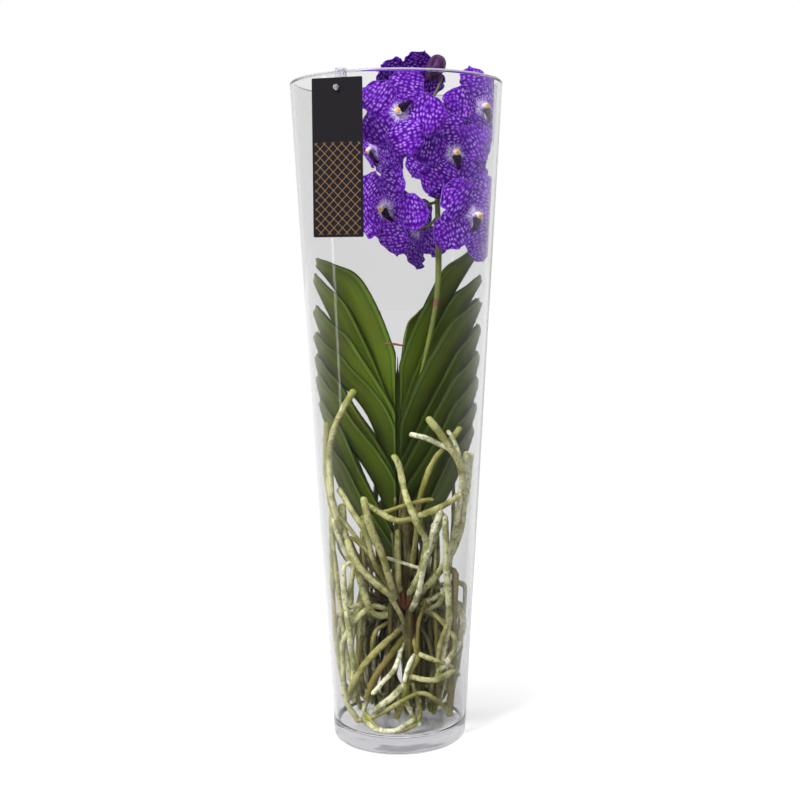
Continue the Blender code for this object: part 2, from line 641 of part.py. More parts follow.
def build_bloom(number, bloom, petal_violet, chance):
    pieces = []
    for tepal in TEPALS:
        waves = (chance.uniform(0, 6.28), chance.uniform(1.6, 2.4))
        grid = []
        for share in TEPAL_ROWS:
            row = [tepal_surface(bloom, tepal, waves, share, across) for across in TEPAL_COLUMNS]
            grid.append(row)
        verts, faces = shell(grid, TEPAL_THICKNESS)
        pieces.append(add_object("tepal", verts, faces, petal_violet))
    depths = (-1.0, 0.0, 1.0)
    centres = [place_in_bloom(bloom, 0, 0, HUB_DEPTH * depth) for depth in depths]
    radii = [HUB_RADIUS * bloom.size * share for share in (0.5, 1.0, 0.5)]
    pieces.insert(0, add_object("hub", *tube(centres, radii, 7), petal_violet))
    fuse(f"bloom_{number}", pieces)


def build_lip(number, bloom, lip_violet):
    """The lip below a bloom's centre, joined to the short column above it."""
    column_points = [place_in_bloom(bloom, *in_metres(point)) for point in COLUMN_ROUTE]
    lip_points = [place_in_bloom(bloom, *in_metres(point)) for point in LIP_ROUTE]
    column_radii = [radius * bloom.size * MM for radius in COLUMN_RADII]
    lip_radii = [radius * bloom.size * MM for radius in LIP_RADII]
    shaft = add_object("column", *tube(column_points, column_radii, 7), lip_violet)
    blade = add_object("blade", *tube(lip_points, lip_radii, 6), lip_violet)
    across, _, _ = bloom_axes(bloom)
    widen(blade, in_metres(bloom.centre), across, LIP_WIDENING)
    fuse(f"lip_{number}", [shaft, blade])


def widen(item, centre, direction, factor):
    """Stretch a mesh along one direction from a centre."""
    for vert in item.data.vertices:
        vert.co += direction * (vert.co - centre).dot(direction) * (factor - 1)


def build_spike(spike_green):
    points = smooth_route(SPIKE_ROUTE, SPIKE_SPACING)
    last = len(points) - 1
    radii = []
    for k in range(len(points)):
        place = k / last * (len(SPIKE_RADII) - 1)
        low = min(int(place), len(SPIKE_RADII) - 2)
        share = place - low
        radii.append((SPIKE_RADII[low] * (1 - share) + SPIKE_RADII[low + 1] * share) * MM)
    pieces = [add_object("flower_spike", *tube(points, radii, SPIKE_SIDES), spike_green)]
    for bloom in BLOOMS:
        start = spike_point(bloom.stalk)
        behind = place_in_bloom(bloom, 0, 0, -PEDICEL_STRAIGHT)
        bend = start.lerp(behind, 0.55) - UP * PEDICEL_SAG
        stalk = smooth_route([start / MM, bend / MM, behind / MM], PEDICEL_SPACING)
        stalk.append(place_in_bloom(bloom, 0, 0, -HUB_DEPTH - 1.3 * GAP))
        spread = PEDICEL_SPREAD / (len(stalk) - 1)
        widths = [PEDICEL_RADIUS * (1 + spread * k) for k in range(len(stalk))]
        pieces.append(add_object("pedicel", *tube(stalk, widths, PEDICEL_SIDES), spike_green))
    top = in_metres(SPIKE_ROUTE[-1])
    bud_base = in_metres(BUD_BASE)
    towards_bud = (in_metres(BUD_TIP) - bud_base).normalized()
    bud_stalk = [top - UP * PEDICEL_SAG, bud_base - towards_bud * GAP]
    bud_stalk_radii = (PEDICEL_RADIUS, 0.93 * PEDICEL_RADIUS)
    pieces.append(add_object("bud_stalk", *tube(bud_stalk, bud_stalk_radii, 5), spike_green))
    fuse("flower_spike", pieces)


def build_bud(bud_violet):
    base, tip = in_metres(BUD_BASE), in_metres(BUD_TIP)
    shares = (0, 0.2, 0.5, 0.8, 1.0)
    widths = (0.35, 0.85, 1.0, 0.7, 0.12)
    points = [base.lerp(tip, share) for share in shares]
    add_object("bud", *tube(points, [BUD_RADIUS * width for width in widths], 8), bud_violet)


def build_stub(dry_brown):
    points = [in_metres(point) for point in STUB_ENDS]
    middle = (points[0] + points[1]) / 2 + UP * STUB_RADIUS / 2
    radii = (0.8 * STUB_RADIUS, STUB_RADIUS, 1.15 * STUB_RADIUS)
    add_object("spent_spike", *tube([points[0], middle, points[1]], radii, 8), dry_brown)


def root_radii(radius, count):
    """A root keeps its thickness and ends in a short blunt point."""
    radii = [radius * MM] * count
    radii[-1] = 0.45 * radius * MM
    return radii


def clear_of_leaves(point):
    """Above the leaves' feet, roots pass in front of the fan or behind it."""
    inside = point.z > LEAF_ZONE_HEIGHT and abs(point.y) < LEAF_ZONE_DEPTH
    if inside:
        point.y = math.copysign(LEAF_ZONE_DEPTH, point.y)
    return point


def wall_root_route(chance, number):
    """From the crown outwards, over a bend, then down along the glass."""
    if number % 5 < 3:
        angle = math.radians(chance.uniform(-70, 75))
    else:
        angle = math.radians(chance.uniform(100, 250))
    radius = chance.uniform(2.2, 3.4)
    top = chance.uniform(120, 182)
    if abs(math.sin(angle)) > 0.5:
        top = chance.uniform(150, 300)
    foot = chance.uniform(24, 85)
    wobble = [angle + math.radians(chance.uniform(-9, 9)) for _ in range(5)]
    heights = (0.5 * (160 + top), top, top - 0.3 * (top - foot), top - 0.65 * (top - foot), foot)
    reach = (0.55, 1.0, 1.0, 0.97, chance.uniform(0.75, 0.95))
    route = [Vector((5, -6, chance.uniform(125, 165)))]
    for turn, height, share in zip(wobble, heights, reach):
        distance = share * (glass_inner_radius(height * MM) / MM - radius - 2.5)
        point = Vector((distance * math.cos(turn), distance * math.sin(turn), height))
        route.append(clear_of_leaves(point * MM) / MM)
    return radius, route


def floor_root_route(chance, number):
    """From the crown down to the vase's floor, then round along its wall."""
    angle = 2 * math.pi * number / FLOOR_ROOTS + chance.uniform(-0.3, 0.3)
    radius = chance.uniform(2.2, 3.2)
    sense = chance.choice((-1, 1))
    height = VASE_FLOOR / MM + radius + 0.4
    route = [Vector((8, -10, 125))]
    route.append(Vector((25 * math.cos(angle), 25 * math.sin(angle), 75)))
    for k in range(4):
        turn = angle + sense * 0.42 * k
        distance = (46, 53, 54, 50)[k]
        route.append(Vector((distance * math.cos(turn), distance * math.sin(turn),
                             height + (14, 1, 0.0, chance.uniform(2, 22))[k])))
    return radius, route


def inside_vase(point, radius):
    """Keep a root of this radius off the vase's wall and floor."""
    point = inside_glass(point, radius + ROOT_WALL_GAP)
    point.z = max(point.z, VASE_FLOOR + radius + GAP)
    return point


def start_on_crown(route):
    """Move a route's first point from the middle of the crown towards its own side."""
    first, following = route[0], route[1]
    for low, high in zip(CROWN_ROUTE[1:], CROWN_ROUTE):
        if low[2] <= first.z <= high[2]:
            middle = Vector(low).lerp(Vector(high), (first.z - low[2]) / (high[2] - low[2]))
            side = following - middle
            side.z = 0
            if (first - middle).length < 12:
                route[0] = middle + side.normalized() * 4.5
    return route


def build_roots(root_pale, chance):
    crown = smooth_route(CROWN_ROUTE, 14 * MM)
    crown_radii = []
    for k in range(len(crown)):
        place = k / (len(crown) - 1) * (len(CROWN_RADII) - 1)
        low = min(int(place), len(CROWN_RADII) - 2)
        crown_radii.append(MM * (CROWN_RADII[low] + (place - low)
                                 * (CROWN_RADII[low + 1] - CROWN_RADII[low])))
    pieces = [add_object("crown", *tube(crown, crown_radii, 8), root_pale)]
    routes = [(root[0], [Vector(point) for point in root[1:]]) for root in FRONT_ROOTS]
    routes += [wall_root_route(chance, number) for number in range(WALL_ROOTS)]
    routes += [floor_root_route(chance, number) for number in range(FLOOR_ROOTS)]
    for radius, route in routes:
        points = smooth_route(start_on_crown(route), ROOT_SPACING)
        points = [inside_vase(point, radius * MM) for point in points]
        turn = chance.uniform(0, 1)
        radii = root_radii(radius, len(points))
        pieces.append(add_object("root", *tube(points, radii, ROOT_SIDES, turn), root_pale))
    fuse("roots", pieces)


def main():
    clear_scene()
    glass = make_material("clear_glass", (0.95, 0.96, 0.97), 0.02, transmission=1.0)
    clear_plastic = make_material("clear_plastic", (0.92, 0.93, 0.95), 0.12, transmission=0.9)
    card_black = make_material("card_black", (0.012, 0.011, 0.013), 0.45)
    leaf_green = make_material("leaf_green", (0.055, 0.105, 0.018), 0.42)
    stem_green = make_material("stem_green", (0.10, 0.16, 0.03), 0.5)
    spike_green = make_material("spike_green", (0.16, 0.26, 0.05), 0.45)
    petal_violet = make_material("petal_violet", (0.085, 0.012, 0.40), 0.5)
    lip_violet = make_material("lip_violet", (0.03, 0.006, 0.10), 0.45)
    bud_violet = make_material("bud_violet", (0.08, 0.02, 0.14), 0.5)
    dry_brown = make_material("dry_brown", (0.24, 0.10, 0.07), 0.7)
    root_pale = make_material("root_pale", (0.46, 0.50, 0.30), 0.75)
    chance = random.Random(SEED)

    build_vase(glass)
    build_tag(card_black)
    build_clip(clear_plastic)
    build_stem(stem_green)
    build_leaves(leaf_green)
    build_spike(spike_green)
    build_bud(bud_violet)
    build_stub(dry_brown)
    for number, bloom in enumerate(BLOOMS, start=1):
        build_bloom(number, bloom, petal_violet, chance)
        build_lip(number, bloom, lip_violet)
    build_roots(root_pale, chance)


main()
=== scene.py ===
"""The looks of a vanda orchid in a tall clear glass vase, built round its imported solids.

Everything is in metres, in the solids' own frame: +Z up, the origin at the centre of the
vase's foot, and the front of the plant towards -Y.
"""

import math
import random
from collections import namedtuple

import bpy
from mathutils import Matrix, Vector


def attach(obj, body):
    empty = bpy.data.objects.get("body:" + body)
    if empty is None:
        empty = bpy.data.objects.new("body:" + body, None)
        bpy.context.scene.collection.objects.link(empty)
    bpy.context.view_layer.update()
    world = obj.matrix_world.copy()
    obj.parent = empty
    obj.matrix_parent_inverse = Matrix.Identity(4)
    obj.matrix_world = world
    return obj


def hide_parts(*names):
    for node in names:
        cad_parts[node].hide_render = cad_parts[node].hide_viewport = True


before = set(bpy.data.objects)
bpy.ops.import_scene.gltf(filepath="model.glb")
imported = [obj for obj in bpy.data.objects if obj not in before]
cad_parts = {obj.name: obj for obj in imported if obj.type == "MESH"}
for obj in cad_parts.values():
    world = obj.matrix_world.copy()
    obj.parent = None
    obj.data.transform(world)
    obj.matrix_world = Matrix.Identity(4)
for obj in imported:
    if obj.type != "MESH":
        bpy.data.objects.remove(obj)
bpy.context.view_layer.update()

MM = 0.001
UP = Vector((0, 0, 1))

# Vase
VASE_HEIGHT = 700 * MM
VASE_FOOT_RADIUS = 71.5 * MM
VASE_RIM_RADIUS = 110.5 * MM
VASE_WALL = 4.0 * MM
VASE_FLOOR = 18.0 * MM
VASE_FOOT_ROUND = 7.0 * MM
VASE_SIDES = 144
VASE_RIPPLE_TOP = 34 * MM          # the foot's glass is smooth above this height
VASE_RIPPLE_FULL = 16 * MM         # and fully rippled below this one
RIM_SEAM = 0.02 * MM

# Hang tag
TAG_SIZE = (52 * MM, 0.8 * MM, 153 * MM)
TAG_CENTRE = (-57 * MM, -101.6 * MM, 615.5 * MM)
TAG_TURN = math.radians(-18)
TAG_HOLE_RADIUS = 2.5 * MM
TAG_HOLE_DROP = 9.5 * MM
TAG_CORNER = 1.2 * MM
TAG_LATTICE = 9 * MM               # width of the printed lattice's diamonds
TAG_PANEL_CENTRE = -29.5 * MM      # height of the printed panel's middle from the card's
TAG_PANEL_HALF = 44.5 * MM
TAG_PANEL_MARGIN = 2.5 * MM

# Stem and leaves
STEM_RADIUS = 5 * MM
STEM_TAPER = 330 * MM
STEM_TOP = 358 * MM
STEM_TOP_RADIUS = 2.6 * MM
LEAF_THICKNESS = 1.4 * MM
LEAF_SEAT = 0.8 * MM
LEAF_TIP_FOLD = 56
LEAF_NOTCH = 4 * MM                # depth of the bitten tip's middle notch
LEAF_ROWS = 56
LEAF_COLUMNS = 25
SEAM_GAP = 0.4 * MM
YOUNG_LEAF_BASE = 178 * MM
YOUNG_LEAF_TIP = 414 * MM
YOUNG_LEAF_SWELL = 2.2 * MM
YOUNG_LEAF_POINT = 0.4 * MM

# A leaf's keel runs in the XZ plane from its base height through three points given as
# (reach from the stem, height); its half width is in millimetres and its fold in degrees
Leaf = namedtuple("Leaf", "base low high tip half_width fold")
LEFT_LEAVES = (
    Leaf(335, (28, 396), (52, 460), (88, 512), 35, 30),
    Leaf(316, (37, 385), (63, 440), (91, 499), 25, 31),
    Leaf(296, (34, 362), (63, 404), (91, 466), 32, 32),
    Leaf(270, (34, 354), (64, 389), (91, 439), 27, 33),
    Leaf(252, (39, 310), (68, 355), (90, 417), 27, 35),
    Leaf(236, (40, 301), (70, 343), (89, 396), 29, 37),
    Leaf(198, (38, 246), (64, 303), (86, 368), 24, 38),
    Leaf(183, (35, 222), (60, 266), (82, 330), 25, 40),
)
RIGHT_LEAVES = (
    Leaf(347, (14, 397), (19, 434), (28, 463), 13, 28),
    Leaf(327, (27, 408), (54, 470), (88, 526), 26, 30),
    Leaf(309, (35, 391), (62, 446), (92, 497), 23, 31),
    Leaf(291, (39, 366), (67, 419), (92, 473), 34, 38),
    Leaf(272, (43, 341), (70, 391), (91, 446), 26, 39),
    Leaf(253, (42, 315), (70, 361), (90, 418), 32, 40),
    Leaf(234, (40, 289), (67, 333), (89, 391), 28, 41),
    Leaf(214, (38, 262), (64, 305), (87, 363), 27, 41),
    Leaf(195, (36, 234), (61, 278), (84, 338), 26, 42),
)

# Flower spike
SPIKE_ROUTE = (
    (16.4, -8.8, 358), (20, -11.1, 373), (22.6, -13.2, 385), (25.5, -15.4, 398),
    (31, -18.6, 424), (37, -20, 452), (41, -19.5, 476), (43, -17.5, 500), (43.5, -12, 530),
    (43, -4, 568), (42, 2, 610), (39.5, 2, 651), (36.5, 0, 684),
)
SPIKE_RADII = (1.7, 1.9, 2.3, 2.6, 2.9, 3.3, 3.0, 2.8, 2.5, 2.1, 1.7)
PEDICEL_RADIUS = 1.5
STALK_RING = 472 * MM
STALK_RING_HALF = 3.5 * MM
BUD_LOW = (40, 3, 701.5)
BUD_TOP = (44.3, 1, 729)
BUD_RADIUS = 10.3 * MM
BUD_HANG = (-3.5, 0, 0)            # how far its pointed lower end hangs to the side
BUD_STALK_RADIUS = 1.35
BUD_STALK = ((36.5, 0, 681), (40.5, 2, 688), (44.6, 4, 696.5), (48.2, 3, 707))
STUB_ENDS = ((-13.6, -16.8, 429.5), (6.5, -17.5, 427))
STUB_RADIUS = 1.2

# A bloom's centre, the way it faces, the turn of its top sepal in degrees, the height at which
# its stalk leaves the spike, and its size against a full one
Bloom = namedtuple("Bloom", "centre facing turn stalk size")
BLOOMS = (
    Bloom((3, -66, 663), (-0.12, -0.98, 0.12), 215, 655, 0.93),
    Bloom((91, 2, 674), (0.50, -0.85, 0.15), 104, 664, 0.98),
    Bloom((59, -33, 624), (0.30, -0.95, 0.08), 98, 612, 0.96),
    Bloom((-11, -42, 569), (-0.62, -0.77, -0.15), 143, 577, 0.98),
    Bloom((79, -38, 561), (0.50, -0.86, -0.05), 67, 556, 0.98),
    Bloom((-24, 4, 633), (-0.80, -0.35, -0.45), 150, 628, 0.9),
    Bloom((11, 34, 703), (-0.35, 0.70, 0.55), 80, 680, 0.9),
    Bloom((44, 66, 645), (0.30, 0.95, 0.05), 95, 668, 0.9),
    Bloom((20, 46, 549), (-0.75, 0.62, -0.15), 125, 562, 0.9),
)
# A sepal or petal: its angle in degrees, its length and width in millimetres, and how far
# forward it lies
Tepal = namedtuple("Tepal", "angle length width layer")
TEPALS = (
    Tepal(0, 44, 38, 0),
    Tepal(70, 45, 41, 1),
    Tepal(-70, 45, 41, 1),
    Tepal(140, 48, 43, -1),
    Tepal(-140, 48, 43, -1),
)
TEPAL_THICKNESS = 0.9 * MM
RIM_CLEARANCE = 4 * MM             # height over the rim at which a petal may lean out
TEPAL_CLAW = 3.5 * MM
TEPAL_LAYER = 2.0 * MM
TEPAL_REFLEX = 5.0 * MM            # how far a tip bends back
TEPAL_CUP = 2 * MM                 # how far the middle of its length comes forward
TEPAL_DROOP = 1.6 * MM             # how far its sides fall back
TEPAL_WAVE = 1.1 * MM
TEPAL_FRILL = 1.7 * MM
TEPAL_MIDLINE = 0.55 * MM          # depth of the crease along its middle
TEPAL_POINT = 2.4 * MM             # how far the middle of the tip stands out
TEPAL_END = 1.037                  # a tepal's rounded tip ends a little past the solid's
TEPAL_ROWS = 34
TEPAL_COLUMNS = 23
HUB_RADIUS = 5 * MM
HUB_DEPTH = 3 * MM
LIP_START = 0.5                    # millimetres up from the bloom's centre
LIP_LENGTH = 18.0
LIP_THICKNESS = 1.6
LIP_ROWS = 16
LIP_COLUMNS = 13
GLASS_MARGIN = 0.8 * MM

# Roots, in millimetres: radius, then the route from the crown to the tip
CROWN_ROUTE = ((0, 0, 177.5), (0, 0, 168), (4, -5, 148), (8, -11, 126), (10, -14, 112))
CROWN_RADII = (6.5, 9, 9.5, 8, 5)
# The torn brown stubs and the dead stick in front of the crown: (radius, points)
DRIED_ENDS = (
    (2.4, (-7, -27, 165), (-5, -28, 159), (-1, -29, 153), (4, -29, 150)),
    (2.0, (3, -25, 166), (4, -27, 160), (5, -29, 153)),
    (2.6, (0, -27, 150), (5, -29, 148), (10, -28, 151), (12, -26, 158)),
    (1.6, (9, -27, 150), (13, -26, 142), (14, -27, 124), (12, -28, 105)),
)
FRONT_ROOTS = (
    (3.2, (0, -6, 165), (-28, -20, 176), (-50, -24, 198), (-67, -38, 262), (-70, -36, 290),
     (-70, -40, 320), (-62, -50, 352), (-46, -45, 381)),
    (2.6, (-28, -20, 176), (-58, -22, 205), (-68, -36, 253), (-74, -29, 290), (-75, -28, 313),
     (-74, -32, 346)),
    (2.4, (0, -8, 160), (-40, -20, 176), (-60, -40, 223), (-67, -36, 244), (-71, -31, 265)),
    (2.6, (0, -6, 165), (-45, -22, 205), (-66, -26, 232), (-70, -22, 198), (-70, -14, 153),
     (-67, -11, 98), (-59, -10, 51)),
    (4.0, (2, -8, 140), (-27, -32, 143), (-43, -32, 187), (-56, -30, 227), (-59, -27, 257)),
    (3.0, (2, -8, 150), (-24, -32, 195), (-34, -40, 231), (-48, -40, 255), (-61, -32, 276)),
    (3.8, (2, -10, 146), (-6, -34, 168), (-17, -52, 211), (-29, -60, 243), (-35, -62, 271)),
    (3.1, (-34, -60, 268), (-18, -60, 257), (1, -66, 250), (26, -66, 257), (50, -56, 266),
     (71, -31, 276)),
    (2.1, (-17, -59, 257), (6, -56, 264), (22, -54, 268), (34, -52, 269)),
    (3.3, (6, -12, 150), (20, -45, 185), (28, -64, 226), (21, -71, 242), (13, -70, 262),
     (6, -58, 281), (1, -52, 305), (-4, -50, 314)),
    (2.8, (54, -52, 322), (39, -54, 329), (27, -56, 335), (14, -56, 338)),
    (3.7, (6, -8, 145), (43, -32, 188), (64, -38, 235), (66, -38, 278), (63, -46, 307),
     (52, -54, 325), (42, -54, 340), (32, -54, 353)),
    (2.4, (66, -39, 280), (63, -45, 311), (58, -45, 328), (52, -44, 339)),
    (2.9, (4, -8, 160), (12, -24, 186), (19, -42, 234), (21, -48, 265), (30, -50, 296),
     (40, -48, 315), (50, -44, 325), (63, -38, 341)),
    (2.8, (6, -8, 140), (44, -27, 155), (56, -40, 224), (62, -44, 260), (65, -44, 288),
     (70, -38, 315)),
    (3.0, (6, -8, 142), (48, -30, 167), (51, -40, 206), (60, -40, 236), (69, -33, 262),
     (73, -29, 290), (75, -30, 312)),
    (3.0, (6, -10, 140), (14, -30, 148), (21, -50, 173), (26, -60, 202), (33, -62, 231),
     (42, -62, 258)),
    (3.4, (2, -8, 155), (0, -30, 172), (-1, -35, 201), (-1, -37, 232)),
    (3.4, (4, -10, 148), (-12, -46, 169), (-30, -54, 187), (-46, -55, 208), (-52, -52, 225)),
    (2.3, (-45, -54, 208), (-50, -46, 176), (-60, -35, 139), (-65, -22, 113)),
    (2.0, (-13, -40, 205), (-1, -37, 201), (10, -38, 197), (20, -38, 194)),
    (2.8, (4, -10, 135), (-30, -32, 150), (-56, -38, 120), (-59, -31, 88), (-57, -28, 49),
     (-45, -24, 23)),
    (2.5, (-45, -24, 23), (-30, -40, 31), (-9, -50, 46), (20, -54, 63), (39, -46, 52),
     (54, -28, 31)),
    (3.3, (8, -12, 125), (-11, -36, 116), (-35, -46, 94), (-49, -41, 67), (-53, -33, 51)),
    (3.6, (9, -14, 116), (-7, -36, 102), (-24, -46, 81), (-34, -46, 57)),
    (2.4, (9, -14, 118), (-4, -46, 89), (-16, -55, 77), (-27, -56, 64)),
    (2.3, (16, -40, 100), (10, -50, 93), (5, -54, 77)),
    (3.4, (6, -44, 70), (-9, -48, 56), (-25, -49, 44)),
    (3.5, (10, -14, 120), (19, -38, 101), (9, -46, 79), (5, -44, 56), (-3, -40, 33)),
    (2.6, (19, -38, 101), (37, -46, 96), (54, -34, 86), (63, -14, 70)),
    (3.0, (9, -46, 79), (31, -54, 77), (46, -45, 78), (58, -29, 81)),
    (2.6, (5, -43, 54), (14, -44, 34), (21, -46, 26)),
    (2.8, (9, -12, 124), (1, -32, 143), (-8, -32, 159)),
    (2.3, (4, -8, 135), (-22, -26, 125), (-28, -30, 113), (-28, -26, 95)),
    (2.3, (6, -8, 148), (28, -22, 154), (21, -34, 136), (19, -40, 116), (18, -40, 98)),
    (2.4, (6, -8, 140), (45, -24, 160), (63, -28, 147), (52, -42, 135), (43, -46, 116),
     (40, -40, 88)),
    (3.1, (6, -8, 140), (48, -14, 158), (67, -17, 137), (65, -18, 110), (54, -36, 98),
     (43, -40, 85)),
)
CROWN_NEAR = 12                    # a root that starts this near to the crown grows from it,
CROWN_SEAT = 4.5                   # and starts this far from its middle
ROOT_WALL_GAP = 0.7 * MM
ROOT_FLOOR_GAP = 0.3 * MM
WALL_ROOTS = 15
FLOOR_ROOTS = 5
LEAF_ZONE_HEIGHT = 188 * MM
LEAF_ZONE_DEPTH = 29 * MM
SEED = 22                          # the same draws as the solids' roots and petal waves
FINE_SEED = 5                      # draws for what only the looks have
ROOT_TONE_SEED = 1835              # draws each root's tone, from silver to olive and brown
FINE_ROOTS = 150                   # thinner roots that fill in between the larger ones

# Camera and floor
CAMERA_PLACE = (0.0022, -1.369, 0.516)
CAMERA_LENS = 57.9
CAMERA_SENSOR = 36
CAMERA_PITCH = 0.108               # radians below level
CAMERA_ROLL = 0.0057
FLOOR_REACH = 12.0
FLOOR_DROP = 0.5 * MM
FLOOR_FADE = (0.35, 1.2)           # distances over which the floor turns to the studio's white


# Shapes shared with the solids

def in_metres(point):
    return Vector(point) * MM


def smoothstep(low, high, value):
    share = min(max((value - low) / (high - low), 0.0), 1.0)
    return share * share * (3 - 2 * share)


def cubic_through(points, share):
    """A cubic curve through four points, which it meets at 0, 1/3, 2/3 and 1."""
    first, second, third, last = points
    handle_a = (-5 * first + 18 * second - 9 * third + 2 * last) / 6
    handle_b = (2 * first - 9 * second + 18 * third - 5 * last) / 6
    rest = 1 - share
    return (first * rest**3 + handle_a * 3 * rest**2 * share
            + handle_b * 3 * rest * share**2 + last * share**3)


def between(values, share):
    """The value at a share, from 0 to 1, of the way along evenly spaced values."""
    place = share * (len(values) - 1)
    low = min(int(place), len(values) - 2)
    return values[low] + (values[low + 1] - values[low]) * (place - low)


def glass_inner_radius(height):
    slope = (VASE_RIM_RADIUS - VASE_FOOT_RADIUS) / VASE_HEIGHT
    return VASE_FOOT_RADIUS + slope * height - VASE_WALL


def inside_glass(point, margin, centre_angle=None):
    """Bend a point that would pass through the glass, or far out over it, along its inside."""
    over = max(point.z - VASE_HEIGHT - RIM_CLEARANCE, 0.0)
    limit = glass_inner_radius(min(point.z, VASE_HEIGHT)) - margin + over
    limit = min(limit, VASE_RIM_RADIUS - TEPAL_THICKNESS)
    radius = math.hypot(point.x, point.y)
    if radius <= limit:
        return point
    angle = math.atan2(point.y, point.x)
    if centre_angle is not None:
        # What the glass pushes back slides aside, away from the middle of its bloom
        away = math.sin(angle - centre_angle)
        angle += math.copysign(0.45 * (radius - limit) / limit, away)
    return Vector((limit * math.cos(angle), limit * math.sin(angle), point.z))


def even_route(route, spacing):
    """Points at an even spacing on a smooth curve through a route's own points."""
    points = [in_metres(point) for point in route]
    padded = [2 * points[0] - points[1]] + points + [2 * points[-1] - points[-2]]
    curve = []
    steps = 12
    for a, b, c, d in zip(padded, padded[1:], padded[2:], padded[3:]):
        for step in range(steps):
            t = step / steps
            curve.append(0.5 * (2 * b + (c - a) * t + (2 * a - 5 * b + 4 * c - d) * t**2
                                + (3 * b - a - 3 * c + d) * t**3))
    curve.append(points[-1])
    lengths = [0.0]
    for a, b in zip(curve, curve[1:]):
        lengths.append(lengths[-1] + (b - a).length)
    count = max(3, round(lengths[-1] / spacing))
    result = []
    k = 0
    for step in range(count + 1):
        target = lengths[-1] * step / count
        while k < len(lengths) - 2 and lengths[k + 1] < target:
            k += 1
        share = (target - lengths[k]) / (lengths[k + 1] - lengths[k])
        result.append(curve[k].lerp(curve[k + 1], share))
    return result


def stem_radius(height):
    taper = max(height - STEM_TAPER, 0) / (STEM_TOP - STEM_TAPER)
    return STEM_RADIUS + (STEM_TOP_RADIUS - STEM_RADIUS) * taper


def leaf_keel(leaf, share):
    base_reach = (stem_radius(leaf.base * MM) + LEAF_SEAT) / math.sin(math.radians(leaf.fold))
    points = [Vector((base_reach, leaf.base * MM))]
    points += [in_metres(point) for point in (leaf.low, leaf.high, leaf.tip)]
    return cubic_through(points, share)


def leaf_surface(leaf, side, share, across, bumps, sway):
    """The middle of a leaf's blade; bumps are those of its bitten tip, from edge to edge."""
    keel = leaf_keel(leaf, share)
    step = 0.002
    tangent = (leaf_keel(leaf, share + step) - leaf_keel(leaf, share - step)).normalized()
    inward = Vector((-tangent.y, tangent.x))
    spread = smoothstep(0.75, 1.0, share)
    fold = math.radians(leaf.fold + (LEAF_TIP_FOLD - leaf.fold) * spread)
    width = leaf.half_width * MM * (1 - 0.45 * smoothstep(0.82, 1.0, share))
    width *= 1 - 0.35 * smoothstep(0.94, 1.0, share) ** 2
    room = (keel.x - SEAM_GAP) / abs(inward.x) - LEAF_THICKNESS
    phase, turns = sway
    width *= 1 + 0.05 * math.sin(phase + turns * share + across)
    rise = abs(across) * min(width * math.cos(fold), room)
    depth = rise * math.tan(fold)
    notch = (1.5 * across * across - 1.0) * LEAF_NOTCH * smoothstep(0.9, 1.0, share)
    notch += between(bumps, (across + 1) / 2) * smoothstep(0.95, 1.0, share)
    flat = keel + inward * rise + tangent * notch
    point = Vector((side * flat.x, math.copysign(depth, across) if across else 0.0, flat.y))
    return inside_glass(point, GLASS_MARGIN + LEAF_THICKNESS / 2)


def spike_point(height):
    for low, high in zip(SPIKE_ROUTE, SPIKE_ROUTE[1:]):
        if low[2] <= height <= high[2]:
            return in_metres(low).lerp(in_metres(high), (height - low[2]) / (high[2] - low[2]))
    return in_metres(SPIKE_ROUTE[-1])


def bloom_axes(bloom):
    out = Vector(bloom.facing).normalized()
    turn = math.radians(bloom.turn)
    up = Vector((math.cos(turn), 0, math.sin(turn)))
    up = (up - out * up.dot(out)).normalized()
    return up.cross(out), up, out


def place_in_bloom(bloom, x, y, z):
    across, up, out = bloom_axes(bloom)
    return in_metres(bloom.centre) + (across * x + up * y + out * z) * bloom.size


Habit = namedtuple("Habit", "phase turns breadth curl twist")


def petal_habit(fine):
    """How one petal differs from the next: its frill, breadth, curled edges and twist."""
    return Habit(fine.uniform(0, 6.28), fine.uniform(2.2, 3.6), fine.uniform(0.86, 1.03),
                 fine.uniform(-4.5, 3.0) * MM, fine.uniform(-3.2, 3.2) * MM)


